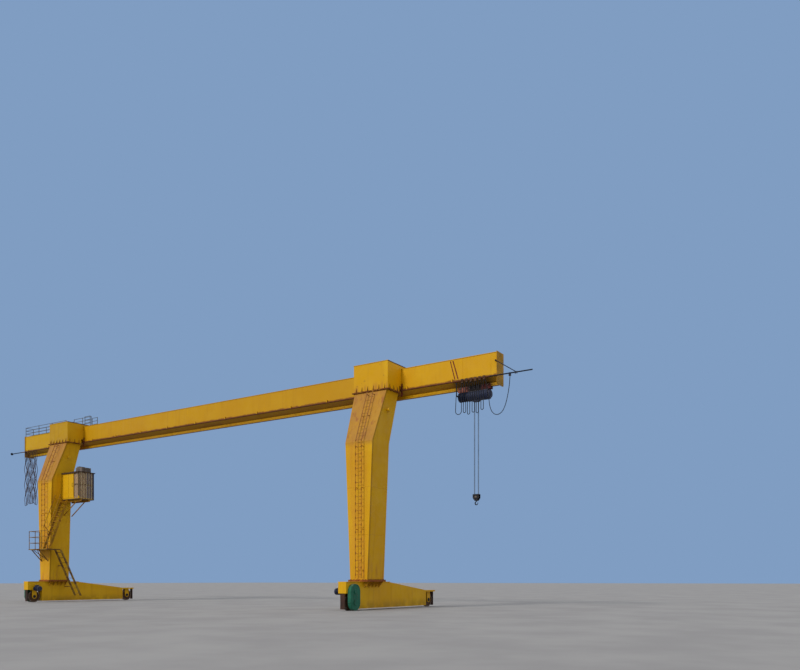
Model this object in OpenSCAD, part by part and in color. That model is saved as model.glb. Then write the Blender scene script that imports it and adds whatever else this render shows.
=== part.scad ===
// Travelling gantry crane: a box girder on two bent box legs, with an underslung rope hoist.
// X runs along the girder towards the near leg, Y along the rails and away from the ladders, Z up.

/* [Girder] */
// Distance between the centres of the two legs
span = 22500; // [18000:100:26000]
// Girder beyond the far leg's centre
far_overhang = 5250; // [4600:50:6500]
// Girder beyond the near leg's centre
near_overhang = 5450; // [4800:50:6500]
// Height of the girder's top above the rails
girder_top = 10230; // [9900:10:10800]
// Width over the girder's flanges
girder_w = 540; // [480:10:620]
// Height of the girder's upright webs
web_h = 900; // [800:10:1000]
// Overhang of the girder's flanges past the webs
flange_lip = 15; // [8:1:20]
// Thickness of the girder's top flange and ledge
girder_plate = 20; // [12:1:26]
// Height of the sloping hopper below the webs
hopper_h = 200; // [160:5:240]
// Width of the hopper's lower edge
hopper_foot_w = 110; // [100:2:130]
// Exposed height of the rail beam below the hopper
rail_beam_h = 160; // [150:2:190]
// Width of the rail beam's running flange
running_flange_w = 150; // [140:2:170]
// Thickness of the running flange
running_flange_t = 14; // [12:1:18]
// Thickness of the rail beam's web
rail_web_t = 10; // [8:1:14]
// Thickness of the plates that close the girder
end_plate_t = 16; // [10:1:24]
// Height of the guard rails on the girder's top
top_guard_h = 560; // [500:10:650]
// Length of the guard rails beyond the far saddle
top_guard_l = 500; // [400:10:700]
// Overhang of the end plates past the girder's section
end_plate_lip = 25; // [10:5:35]

/* [Saddles] */
// Width of a saddle box along the girder
saddle_w = 1770; // [1700:10:1850]
// Reach of a saddle box in front of the girder
saddle_reach = 990; // [930:10:1100]
// Height of the saddle's top above the girder's top
saddle_rise = 110; // [80:5:140]
// Depth of the saddle's floor below the webs
saddle_drop = 140; // [120:5:170]
// Thickness of the plate on the saddle's top
saddle_plate = 16; // [10:1:24]
// Thickness of the saddle's back plate
saddle_back_t = 60; // [40:5:90]
// Height of the saddle's back plate
saddle_back_h = 620; // [400:20:760]
// Depth of the channel behind the leg that the festoon runs through
festoon_channel = 150; // [145:1:180]
// Height of that channel above the webs' lower edge
channel_rise = 130; // [125:5:180]

/* [Legs] */
// Reach of the upright leg's front in front of the girder
leg_reach = 1800; // [1700:10:1900]
// Height of the bend above the rails
bend_z = 6930; // [6500:10:7200]
// Width of the leg's foot along the girder
foot_w = 880; // [820:10:940]
// Width of the leg at its bend
bend_w = 1390; // [1300:10:1450]
// Width of the leg's head
head_w = 1660; // [1600:10:1690]
// Depth of the leg's foot along the rails
foot_d = 1150; // [1050:10:1200]
// Depth of the leg at its bend
bend_d = 1165; // [1060:10:1220]
// Thickness of each bolted flange plate
flange_t = 40; // [30:2:50]
// Overhang of the bolted flanges past the leg
flange_out = 60; // [45:5:80]
// Height of the small ribs at the flanges
rib_h = 210; // [160:10:260]
// Thickness of the small ribs
rib_t = 12; // [8:1:16]

/* [Ground beams] */
// Height of the ground beam's top above the rails
beam_top = 1170; // [1120:10:1220]
// Width of the ground beam's box
beam_w = 400; // [340:10:440]
// Overhang of the beam's top plate
beam_lip = 30; // [15:5:40]
// Thickness of the beam's top plate
beam_plate = 20; // [12:1:26]
// Height of the box's underside above the rails
beam_clear = 70; // [50:5:100]
// Front wheel's axle in front of the leg's front
front_axle_out = 650; // [620:10:720]
// Distance between the two axles of a ground beam
wheelbase = 5850; // [5700:50:6000]
// Height of the box at the rear
beam_rear_h = 700; // [680:5:720]
// Start of the beam's taper behind the girder's front
taper_start = 100; // [0:20:300]
// Beam beyond each axle
beam_end_out = 420; // [400:10:480]

/* [Wheels] */
// Radius of the wheel's tread
tread_r = 300; // [285:1:305]
// Height of the wheel's flanges above its tread
wheel_flange = 25; // [15:1:28]
// Width of the tread
tread_w = 90; // [70:2:100]
// Thickness of each wheel flange
wheel_flange_t = 20; // [14:1:24]
// Radius of the axle
axle_r = 45; // [35:1:50]
// Thickness of a bearing cheek
cheek_t = 28; // [20:1:32]
// Width of a bearing cheek along the rails
cheek_w = 260; // [220:10:300]
// Radius of the gear cover's round ends
cover_r = 310; // [290:1:315]
// Distance between the cover's two centres
cover_rise = 445; // [400:5:460]
// Thickness of the gear cover
cover_t = 150; // [120:5:180]
// Radius of the travel motor
motor_r = 125; // [100:5:140]
// Length of the travel motor
motor_l = 380; // [300:10:440]

/* [Ladders] */
// Width between a ladder's stiles
ladder_w = 300; // [280:10:360]
// Distance from rung to rung
rung_pitch = 290; // [250:5:310]
// Distance from the leg's face to the stiles
ladder_out = 150; // [130:5:180]
// Sideways place of the ladder on the leg
ladder_x = 100; // [60:10:140]
// Distance from a leg's head down to its ladder's end
ladder_end = 60; // [40:10:200]
// Distance between the cleats that hold a ladder
cleat_pitch = 1700; // [1300:50:1900]
// Radius of the stiles
stile_r = 18; // [14:1:22]
// Radius of the rungs
rung_r = 11; // [9:1:14]

/* [Cab] */
// Width of the cab along the girder
cab_w = 1540; // [1450:10:1650]
// Depth of the cab along the rails
cab_d = 940; // [860:10:1000]
// Height of the cab over floor and roof
cab_h = 1560; // [1480:10:1700]
// Height of the cab's floor above the rails
cab_z = 5800; // [5700:10:5900]
// Cab's front in front of the girder
cab_reach = 1200; // [1170:10:1250]
// Gap between the leg and the cab
cab_gap = 10; // [6:1:40]
// Size of the cab's posts
post = 55; // [45:1:65]
// Thickness of the cab's wall panels
panel_t = 30; // [20:1:36]
// Thickness of the cab's glass
glass_t = 8; // [6:1:12]
// Thickness of the cab's floor
cab_floor_t = 70; // [50:5:100]
// Thickness of the cab's roof
cab_roof_t = 50; // [30:5:80]
// Height of the closed wall at the cab's back
back_wall_h = 500; // [400:10:700]
// Width of the panelled part of the cab's front
door_w = 1100; // [1000:10:1150]

/* [Stairs] */
// Height of the landing above the rails
landing_z = 2990; // [2900:10:3100]
// Reach of the landing in front of the leg
landing_out = 640; // [600:10:720]
// Thickness of the landing
landing_t = 45; // [30:5:60]
// Height of the struts below the landing
landing_drop = 640; // [500:10:800]
// Height of the landing's guard rail
landing_guard_h = 1000; // [900:10:1100]
// Run of the lower flight along the leg
lower_run = 1230; // [1100:10:1300]
// Height of the lower flight's foot above the rails
lower_foot_z = 350; // [250:10:450]
// Width of a stair flight
flight_w = 540; // [500:10:600]
// Thickness of a stringer
stringer_t = 12; // [8:1:16]
// Depth of a tread
tread_d = 150; // [120:10:180]
// Rise from tread to tread
tread_rise = 280; // [240:10:300]
// Radius of rails and posts
tube_r = 17; // [13:1:20]

/* [Hoist] */
// Hoist's centre from the girder's near end
hoist_back = 1130; // [1100:10:1400]
// Radius of the drum's casing
drum_r = 205; // [185:1:215]
// Length over the drum, the motor and the gearbox
hoist_l = 1420; // [1300:10:1500]
// Clearance between the running flange and the hoist
hoist_clear = 20; // [15:1:30]
// Radius of the carriage's wheels
runner_r = 52; // [45:1:55]
// Length of the carriage
carriage_l = 1500; // [1300:10:1560]
// Length of the motor on the drum's left
hoist_motor_l = 420; // [360:10:460]
// Length of the gearbox on the drum's right
hoist_gear_l = 300; // [260:10:340]
// Radius of the gearbox beyond the drum's casing
gear_lip = 8; // [4:1:10]
// Radius of the hook's shank
shank_r = 20; // [16:1:24]
// Height of the hook block's centre above the rails
block_z = 4600; // [4200:10:5000]
// Radius of the hoisting rope
rope_r = 7.5; // [6:0.5:9]

/* [Festoon] */
// Radius of the festoon's pipe
pipe_r = 25; // [20:1:28]
// Distance from the webs to the pipe's axis
pipe_out = 90; // [85:1:95]
// Depth of the pipe's axis below the webs
pipe_drop = 65; // [60:1:75]
// Length of the arm beyond the girder's near end
arm_l = 1550; // [1400:10:1700]
// Length of the arm beyond the girder's far end
far_arm_l = 1350; // [1200:10:1500]
// Radius of the stop on the far arm's end
stop_r = 75; // [50:5:85]
// Reach of the arm's strut beyond the girder's near end
strut_reach = 880; // [700:10:1000]
// Height of the strut's foot above the pipe
strut_rise = 620; // [500:10:700]
// Distance from bracket to bracket
bracket_pitch = 2200; // [1800:50:2600]
// Radius of the festoon cable
cable_r = 14; // [10:1:16]
// Distance from carrier to carrier
carrier_pitch = 200; // [190:5:220]
// Length of a carrier along the pipe
carrier_l = 110; // [95:5:125]
// Depth of the small loops below the carriers
loop_depth = 1300; // [1000:20:1500]
// Width of the cable stowed at the far end
stowed_w = 1420; // [1200:20:1800]
// Depth of the stowed cable below the pipe
stowed_depth = 3370; // [2800:10:3600]

/* [Hidden] */
$fn = 48;

yellow = [0.82, 0.63, 0.09];
slate = [0.17, 0.19, 0.25];
dark = [0.10, 0.10, 0.12];
green = [0.13, 0.42, 0.28];
grey = [0.45, 0.45, 0.45];
rust = [0.40, 0.24, 0.14];

carriers = 6;
seat = 0.3;              // gap between neighbouring pieces
girder_l = far_overhang + span + near_overhang;
overall = far_arm_l + girder_l + arm_l;
x_left = far_arm_l - overall / 2;
x_right = x_left + girder_l;
x_far = x_left + far_overhang;
x_near = x_far + span;

front_axle_rel = -leg_reach - front_axle_out;             // from the girder's front web
beam_l = wheelbase + 2 * beam_end_out;
y_web = -(front_axle_rel - beam_end_out) - beam_l / 2;    // puts the ground beams' middle at Y = 0
y_mid = y_web + girder_w / 2;
web_bottom = girder_top - web_h;
hopper_bottom = web_bottom - hopper_h;
rail_bottom = hopper_bottom - rail_beam_h;
flange_top = rail_bottom + running_flange_t;

saddle_bottom = web_bottom - saddle_drop;
saddle_top = girder_top + saddle_rise;
head_z = saddle_bottom - flange_t;
foot_z = beam_top + 2 * flange_t;
y_leg = y_web - leg_reach;
y_head = y_web - saddle_reach;
y_head_back = y_web - festoon_channel;

axle_z = tread_r + wheel_flange;
y_front_axle = y_web + front_axle_rel;
y_rear_axle = y_front_axle + wheelbase;
wheel_w = tread_w + 2 * wheel_flange_t;
cheek_in = wheel_w / 2 + 10;
cheek_out = cheek_in + cheek_t;
wheel_room = tread_r + wheel_flange + 45;                 // box kept clear of the wheel
y_beam_front = y_front_axle - beam_end_out;
y_beam_rear = y_rear_axle + beam_end_out;
lip_z = 2 * axle_z + 50;                                  // underside of the beam over a wheel

pipe_y = y_web - pipe_out;
pipe_z = web_bottom - pipe_drop;
carrier_foot = pipe_z - pipe_r - 70;
hoist_x = x_right - hoist_back;
drum_z = rail_bottom - hoist_clear - 60 - drum_r;
hook_x = hoist_x + 60;
rope_x = 88;
rope_y = 26;
guide_bottom = drum_z - drum_r - 45;
block_top = block_z + 100;
block_bottom = block_z - 165;
tow_x = hoist_x - hoist_l / 2 + 30;
first_carrier_x = tow_x + 290;
clamp_x = x_right + 600;

cab_x = x_far + half_leg_w(cab_z + cab_h) + cab_gap;
cab_y = y_web - cab_reach;
mid_rail_z = cab_z + 0.52 * cab_h;
back_sill_z = cab_z + back_wall_h;
flight_x = cab_x + 60;
lower_top_y = y_leg + 100;
lower_foot_y = lower_top_y + lower_run;
upper_foot_y = y_leg - landing_out + 130;

function lerp(a, b, t) = a + (b - a) * t;
function carrier_x(i) = first_carrier_x + (i - 1) * carrier_pitch;
function half_leg_w(z) = z < bend_z
    ? lerp(foot_w, bend_w, (z - foot_z) / (bend_z - foot_z)) / 2
    : lerp(bend_w, head_w, (z - bend_z) / (head_z - bend_z)) / 2;
function leg_face_y(z) = z < bend_z ? y_leg
    : z < head_z ? lerp(y_leg, y_head, (z - bend_z) / (head_z - bend_z)) : y_head;

// A closed profile given as [y, z] points, run along X from x0 over the length l
module along_x(x0, l, points) {
    translate([x0, 0, 0]) rotate([90, 0, 90]) linear_extrude(l) polygon(points);
}

// A closed profile given as [x, z] points, run along Y from y0 over the length l
module along_y(y0, l, points) {
    translate([0, y0 + l, 0]) rotate([90, 0, 0]) linear_extrude(l) polygon(points);
}

// A round bar from p to q
module rod(p, q, r) {
    v = q - p;
    l = norm(v);
    translate(p) rotate([0, acos(v[2] / l), atan2(v[1], v[0])]) cylinder(r = r, h = l);
}

// A box given by its low and high corners
module block(low, high) {
    translate(low) cube(high - low);
}

// A disc or tube of radius r from x0 to x1 at [y, z]
module disc_x(x0, x1, y, z, r) {
    translate([x0, y, z]) rotate([0, 90, 0]) cylinder(r = r, h = x1 - x0);
}

module disc_y(y0, y1, x, z, r) {
    translate([x, y0, z]) rotate([-90, 0, 0]) cylinder(r = r, h = y1 - y0);
}

// Flat outline from a0 to a1 and from z0 to z1, round at its lower corners
module round_foot(a0, a1, z0, z1, r) {
    translate([a0, z0 + r]) square([a1 - a0, z1 - z0 - r]);
    translate([a0 + r, z0]) square([a1 - a0 - 2 * r, z1 - z0]);
    translate([a0 + r, z0 + r]) circle(r = r);
    translate([a1 - r, z0 + r]) circle(r = r);
}

module girder_box() {
    half = girder_w / 2;
    web = half - flange_lip;
    x = x_left + end_plate_t;
    l = girder_l - 2 * end_plate_t;
    ledge = web_bottom - girder_plate;
    color(yellow) {
        block([x, y_mid - half, girder_top - girder_plate], [x + l, y_mid + half, girder_top]);
        block([x, y_mid - web, web_bottom + seat], [x + l, y_mid + web, girder_top - girder_plate - seat]);
        block([x, y_mid - half, ledge], [x + l, y_mid + half, web_bottom]);
        along_x(x, l, [
            [y_mid - web, ledge - seat], [y_mid - hopper_foot_w / 2, hopper_bottom],
            [y_mid + hopper_foot_w / 2, hopper_bottom], [y_mid + web, ledge - seat]
        ]);
    }
}

module girder_rail_beam() {
    x = x_left + end_plate_t;
    l = girder_l - 2 * end_plate_t;
    color(yellow) {
        block([x, y_mid - rail_web_t / 2, flange_top + seat], [x + l, y_mid + rail_web_t / 2, hopper_bottom]);
        block([x, y_mid - running_flange_w / 2, rail_bottom], [x + l, y_mid + running_flange_w / 2, flange_top]);
    }
}

module end_plate(x0) {
    half = girder_w / 2 + end_plate_lip;
    corner_r = 70;
    color(yellow) translate([x0, 0, 0]) rotate([90, 0, 90]) linear_extrude(end_plate_t)
        round_foot(y_mid - half, y_mid + half, rail_bottom - end_plate_lip, girder_top + end_plate_lip, corner_r);
}

module girder_end_plates() {
    for (x = [x_left, x_right - end_plate_t]) end_plate(x);
}

// Box that clasps the girder from the front, over its top and down its back
module saddle(x) {
    front = y_head;
    back = y_mid + girder_w / 2 + saddle_back_t;
    girder_front = y_mid - girder_w / 2;
    girder_back = y_mid + girder_w / 2;
    lip = 15;
    color(yellow) {
        along_x(x - saddle_w / 2, saddle_w, [
            [front, saddle_bottom], [y_head_back, saddle_bottom],
            [y_head_back, web_bottom + channel_rise], [girder_front, web_bottom + channel_rise],
            [girder_front, girder_top], [girder_back, girder_top],
            [girder_back, saddle_top - saddle_back_h], [back, saddle_top - saddle_back_h],
            [back, saddle_top], [front, saddle_top]
        ]);
        block([x - saddle_w / 2 - lip, front - lip, saddle_top],
              [x + saddle_w / 2 + lip, back + lip, saddle_top + saddle_plate]);
    }
}

module saddle_near() { saddle(x_near); }
module saddle_far() { saddle(x_far); }

// Bent box leg: its side outline and its front outline run through each other
module leg(x) {
    reach = 2 * saddle_w;
    color(yellow) intersection() {
        along_x(x - reach / 2, reach, [
            [y_leg, foot_z], [y_leg + foot_d, foot_z], [y_leg + bend_d, bend_z],
            [y_head_back, head_z], [y_head, head_z], [y_leg, bend_z]
        ]);
        along_y(y_leg - reach / 2, 2 * reach, [
            [x - foot_w / 2, foot_z], [x + foot_w / 2, foot_z], [x + bend_w / 2, bend_z],
            [x + head_w / 2, head_z], [x - head_w / 2, head_z], [x - bend_w / 2, bend_z]
        ]);
    }
}

module leg_near() { leg(x_near); }
module leg_far() { leg(x_far); }

// Row of triangular ribs on a face that looks along -Y, standing on height z
module front_ribs(x, w, n, y, z) {
    for (i = [0 : n - 1]) {
        cx = x - w / 2 + w * (i + 0.5) / n;
        along_x(cx - rib_t / 2, rib_t, [[y, z], [y - flange_out + 5, z], [y, z + rib_h]]);
    }
}

// Row of triangular ribs on both faces that look along X
module side_ribs(x, half_w, y0, y1, n, z) {
    for (side = [-1, 1], i = [0 : n - 1]) {
        cy = lerp(y0, y1, (i + 0.5) / n);
        along_y(cy - rib_t / 2, rib_t, [
            [x + side * half_w, z], [x + side * (half_w + flange_out - 5), z],
            [x + side * half_w, z + rib_h]
        ]);
    }
}

module leg_top_flange(x) {
    low = [x - saddle_w / 2 - flange_out, y_head - flange_out, head_z];
    color(rust) {
        block(low, [x + saddle_w / 2 + flange_out, y_head_back, saddle_bottom]);
        front_ribs(x, saddle_w, 6, y_head, saddle_bottom + seat);
        side_ribs(x, saddle_w / 2, y_head, y_head_back, 3, saddle_bottom + seat);
    }
}

module leg_top_flanges() {
    leg_top_flange(x_near);
    leg_top_flange(x_far);
}

module leg_base_flange(x) {
    out = flange_out;
    half = foot_w / 2 + out;
    web = beam_w / 2 + beam_lip;
    color(rust) {
        block([x - half, y_leg - out, beam_top], [x + half, y_leg + foot_d + out, foot_z]);
        for (side = [-1, 1], i = [0 : 4]) {
            cy = lerp(y_leg, y_leg + foot_d, (i + 0.5) / 5);
            along_y(cy - rib_t / 2, rib_t, [
                [x + side * web, beam_top - seat], [x + side * half, beam_top - seat],
                [x + side * web, beam_top - 1.2 * rib_h]
            ]);
        }
    }
}

module leg_base_flanges() {
    leg_base_flange(x_near);
    leg_base_flange(x_far);
}

module bearing_cheeks(x, y, top) {
    for (side = [-1, 1]) {
        x0 = side < 0 ? x - cheek_out : x + cheek_in;
        difference() {
            union() {
                block([x0, y - cheek_w / 2, axle_z], [x0 + cheek_t, y + cheek_w / 2, top]);
                disc_x(x0, x0 + cheek_t, y, axle_z, cheek_w / 2);
            }
            disc_x(x0 - 1, x0 + cheek_t + 1, y, axle_z, axle_r + 0.5);
        }
    }
}

// Ground beam: a box with a tapered rear and a cover plate, on two cheeks over each wheel
module ground_beam(x) {
    low = y_front_axle + wheel_room;
    rear = y_rear_axle - wheel_room;
    z_rear = beam_clear + beam_rear_h;
    taper_y = y_web + taper_start;
    plate_z = beam_top - beam_plate;
    color(yellow) {
        block([x - beam_w / 2, y_beam_front, lip_z], [x + beam_w / 2, low - seat, plate_z - seat]);
        along_x(x - beam_w / 2, beam_w, [
            [low, beam_clear], [rear, beam_clear], [rear, z_rear], [taper_y, plate_z - seat], [low, plate_z - seat]
        ]);
        block([x - beam_w / 2, rear + seat, lip_z], [x + beam_w / 2, y_beam_rear, z_rear]);
        block([x - beam_w / 2 - beam_lip, y_beam_front, plate_z], [x + beam_w / 2 + beam_lip, taper_y, beam_top]);
        bearing_cheeks(x, y_front_axle, lip_z - seat);
        bearing_cheeks(x, y_rear_axle, lip_z - seat);
    }
}

module ground_beam_near() { ground_beam(x_near); }
module ground_beam_far() { ground_beam(x_far); }

// Cover of the driving gears on the outer side of a ground beam; side = 1 faces +X
module gear_cover(x, side) {
    x0 = side > 0 ? x + beam_w / 2 : x - beam_w / 2 - cover_t;
    z1 = axle_z + cover_rise;
    color(green) {
        disc_x(x0, x0 + cover_t, y_front_axle, axle_z, cover_r);
        disc_x(x0, x0 + cover_t, y_front_axle, z1, cover_r);
        block([x0, y_front_axle - cover_r, axle_z], [x0 + cover_t, y_front_axle + cover_r, z1]);
    }
}

module gear_covers() {
    gear_cover(x_near, 1);
    gear_cover(x_far, -1);
}

module drive_motor(x, side) {
    z = axle_z + cover_rise;
    x0 = side > 0 ? x + beam_w / 2 : x - beam_w / 2 - motor_l;
    cap = side > 0 ? x0 + motor_l : x0 - 60;
    color(slate) {
        disc_x(x0, x0 + motor_l, y_front_axle, z, motor_r);
        disc_x(cap, cap + 60, y_front_axle, z, motor_r + 12);
        block([x0 + 90, y_front_axle - 80, z + motor_r - 20], [x0 + 230, y_front_axle + 80, z + motor_r + 60]);
    }
}

module drive_motors() {
    drive_motor(x_near, -1);
    drive_motor(x_far, 1);
}

// Plates that sweep the rail in front of and behind the wheels
module rail_guards() {
    for (x = [x_near, x_far]) color(rust) {
        block([x - 110, y_beam_front + 20, 60], [x + 110, y_beam_front + 36, lip_z]);
        block([x - 110, y_beam_rear - 36, 60], [x + 110, y_beam_rear - 20, lip_z]);
    }
}

module travel_wheel(x, y) {
    w = wheel_w / 2;
    color(dark) translate([x - w, y, axle_z]) rotate([0, 90, 0]) rotate_extrude(convexity = 6) polygon([
        [axle_r - 2, 0], [tread_r + wheel_flange, 0], [tread_r + wheel_flange, wheel_flange_t],
        [tread_r, wheel_flange_t], [tread_r, wheel_w - wheel_flange_t],
        [tread_r + wheel_flange, wheel_w - wheel_flange_t], [tread_r + wheel_flange, wheel_w],
        [tread_r - 45, wheel_w], [tread_r - 60, wheel_w - 35], [axle_r + 45, wheel_w - 35],
        [axle_r + 35, wheel_w], [axle_r - 2, wheel_w]
    ]);
    color(grey) disc_x(x - cheek_out, x + cheek_out, y, axle_z, axle_r);
}

module wheel_near_front() { travel_wheel(x_near, y_front_axle); }
module wheel_near_rear() { travel_wheel(x_near, y_rear_axle); }
module wheel_far_front() { travel_wheel(x_far, y_front_axle); }
module wheel_far_rear() { travel_wheel(x_far, y_rear_axle); }

// Ladder up the front of a leg from height z0 to under its head
module ladder(x, z0) {
    slope = atan2(y_head - y_leg, head_z - bend_z);
    run = [0, sin(slope), cos(slope)];
    gap = stile_r * sin(slope) + seat;
    cleat_r = stile_r - 4;
    z1 = (bend_z + head_z) / 2;
    z2 = head_z - ladder_end;
    color(yellow) difference() {
        for (s = [-1, 1]) {
            sx = x + ladder_x + s * ladder_w / 2;
            bend = [sx, y_leg - ladder_out, bend_z];
            rod([sx, y_leg - ladder_out, z0], bend, stile_r);
            rod(bend + run * gap, bend + run * (z2 - bend_z) / cos(slope), stile_r);
            for (z = [z0 + 300 : cleat_pitch : bend_z - 200])
                disc_y(y_leg - ladder_out + stile_r + seat, y_leg, sx, z, cleat_r);
            for (z = [z1, z2 - 100])
                disc_y(leg_face_y(z) - ladder_out + stile_r + cleat_r * tan(slope) + 2, leg_face_y(z) + 20, sx, z,
                       cleat_r);
        }
        leg(x);
    }
    rung_l = ladder_w / 2 - stile_r - seat;
    color(yellow) for (z = [z0 + 150 : rung_pitch : z2 - 60])
        disc_x(x + ladder_x - rung_l, x + ladder_x + rung_l, leg_face_y(z) - ladder_out, z, rung_r);
}

module ladder_near() { ladder(x_near, foot_z + 60); }
module ladder_far() { ladder(x_far, landing_z + 40); }

// Lifting trunnions on the sloping part of each leg
module lifting_trunnions() {
    z = bend_z + 0.62 * (head_z - bend_z);
    y = leg_face_y(z) + 420;
    for (x = [x_near, x_far]) color(dark) difference() {
        for (s = [-1, 1]) {
            x0 = x + s * (half_leg_w(z) - 30);
            x1 = x + s * (half_leg_w(z) + 110);
            collar = x1 + s * (20 + seat);
            disc_x(min(x0, x1), max(x0, x1), y, z, 60);
            disc_x(min(x1 + s * seat, collar), max(x1 + s * seat, collar), y, z, 85);
        }
        leg(x);
    }
}

// Guard rail along a row of points: a post on each, three rails between each two
module guard(points, h) {
    for (p = points) translate(p) cylinder(r = tube_r, h = h + tube_r);
    for (i = [1 : len(points) - 1], z = [h * 0.34, h * 0.67, h]) {
        p = points[i - 1];
        q = points[i];
        gap = (q - p) / norm(q - p) * (tube_r + seat);
        rod(p + gap + [0, 0, z], q - gap + [0, 0, z], tube_r - 3);
    }
}

module girder_guard_rail() {
    inset = 40;
    y0 = y_mid - girder_w / 2 + inset;
    y1 = y_mid + girder_w / 2 - inset;
    x0 = x_left + inset;
    x1 = x_far - saddle_w / 2 - inset;
    x2 = x_far + saddle_w / 2 + 60;
    posts = [for (i = [0 : 3]) lerp(x0, x1, i / 3)];
    color(yellow) {
        guard(concat([for (i = [3 : -1 : 0]) [posts[i], y0, girder_top]], [for (x = posts) [x, y1, girder_top]]),
              top_guard_h);
        guard([for (s = [-1, 0, 1]) [x_far + s * (saddle_w / 2 - inset), y1, saddle_top + saddle_plate]], top_guard_h);
        for (y = [y0, y1]) guard([[x2, y, girder_top], [x2 + top_guard_l, y, girder_top]], top_guard_h);
    }
}

// Cab: floor, roof, posts, a panelled front beside the leg, and closed lower walls
module cab_frame() {
    x1 = cab_x + cab_w;
    y1 = cab_y + cab_d;
    low = cab_z + cab_floor_t;
    high = cab_z + cab_h - cab_roof_t;
    color(yellow) {
        block([cab_x, cab_y, cab_z], [x1, y1, low - seat]);
        block([cab_x, cab_y - 45, high + seat], [x1 + 45, y1 + 45, cab_z + cab_h]);
        for (x = [cab_x, x1 - post], y = [cab_y, y1 - post]) block([x, y, low], [x + post, y + post, high]);
        block([cab_x + post + seat, cab_y, low], [cab_x + door_w, cab_y + panel_t, high]);
        block([cab_x, cab_y + post + seat, low], [cab_x + panel_t, y1 - post - seat, high]);
        block([cab_x + post + seat, y1 - panel_t, low], [x1 - post - seat, y1, back_sill_z]);
        block([x1 - post, cab_y + post + seat, mid_rail_z], [x1, y1 - post - seat, mid_rail_z + post]);
        block([cab_x + door_w + seat, cab_y, mid_rail_z], [x1 - post - seat, cab_y + post, mid_rail_z + post]);
    }
}

module cab_glass() {
    x1 = cab_x + cab_w;
    y1 = cab_y + cab_d;
    low = cab_z + cab_floor_t;
    high = cab_z + cab_h - cab_roof_t;
    inset = (post - glass_t) / 2;
    color([0.45, 0.55, 0.60, 0.4]) {
        for (z = [[low, mid_rail_z], [mid_rail_z + post, high]]) {
            block([x1 - inset - glass_t, cab_y + post, z[0]], [x1 - inset, y1 - post, z[1]]);
            block([cab_x + door_w, cab_y + inset, z[0]], [x1 - post, cab_y + inset + glass_t, z[1]]);
        }
        block([cab_x + post, y1 - 20, back_sill_z], [x1 - post, y1 - 20 + glass_t, high]);
    }
}

// Upright bars outside the cab's windows
module cab_window_bars() {
    x1 = cab_x + cab_w;
    r = 9;
    low = cab_z + 20;
    high = cab_z + cab_h - cab_roof_t;
    color(grey) for (i = [1 : 5]) {
        y = lerp(cab_y, cab_y + cab_d, i / 6);
        translate([x1 + r, y, low]) cylinder(r = r, h = high - low);
    }
}

module cab_roof_unit() {
    x1 = cab_x + cab_w;
    z1 = cab_z + cab_h;
    y0 = cab_y + 230;
    color(dark) {
        block([x1 - 620, y0, z1], [x1 - 60, y0 + 560, z1 + 260]);
        disc_y(y0 - 14, y0, x1 - 340, z1 + 135, 105);
        block([x1 - 600, y0 + 60, z1 + 260], [x1 - 380, y0 + 400, z1 + 330]);
    }
}

// Two cantilever beams with struts that carry the cab from the leg's side
module cab_support() {
    h = 110;
    z = cab_z - h;
    strut_drop = 750;
    for (y = [cab_y + 120, cab_y + cab_d - 330]) color(yellow) {
        difference() {
            block([x_far + half_leg_w(z) - 20, y, z], [cab_x + cab_w, y + 90, cab_z]);
            leg(x_far);
        }
        difference() {
            rod([x_far + half_leg_w(z - strut_drop) - 20, y + 45, z - strut_drop],
                [cab_x + 0.72 * cab_w, y + 45, z + 20], 28);
            leg(x_far);
            block([cab_x, y - 1, z - seat], [cab_x + cab_w, y + 91, cab_z]);
        }
    }
}

// Landing in front of and beside the leg, on braced brackets
module stair_landing() {
    x0 = x_far - foot_w / 2 - 60;
    x1 = flight_x + flight_w + 40;
    y0 = y_leg - landing_out;
    bottom = landing_z - landing_t;
    strut_x = 330;
    strut_r = 26;
    brace_x = strut_x - strut_r - 24;
    brace_r = 17;
    apart = 32;
    edge = 25;
    color(grey) {
        block([x0, y0, bottom], [x1, y_leg, landing_z]);
        difference() {
            block([x_far, y_leg + seat, bottom], [x1, lower_top_y, landing_z]);
            leg(x_far);
        }
    }
    color(yellow) difference() {
        union() {
            for (s = [-1, 1]) {
                rod([x_far + s * strut_x, y0 + 60, bottom + 30], [x_far + s * strut_x, y_leg + 25, bottom - landing_drop],
                    strut_r);
                rod([x_far - s * brace_x, y0 + 70 + s * apart, bottom + 30],
                    [x_far + s * brace_x, y_leg + 45 + s * apart, bottom - landing_drop], brace_r);
            }
        }
        leg(x_far);
        block([x0, y0, bottom - seat], [x1, y_leg, landing_z]);
    }
    guard_z = landing_z + seat;
    color(yellow) guard([
        [x1 - edge, y0 + edge, guard_z], [lerp(x0, x1, 0.67), y0 + edge, guard_z],
        [lerp(x0, x1, 0.33), y0 + edge, guard_z], [x0 + edge, y0 + edge, guard_z],
        [x0 + edge, y_leg - 40, guard_z]
    ], landing_guard_h);
}

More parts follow.
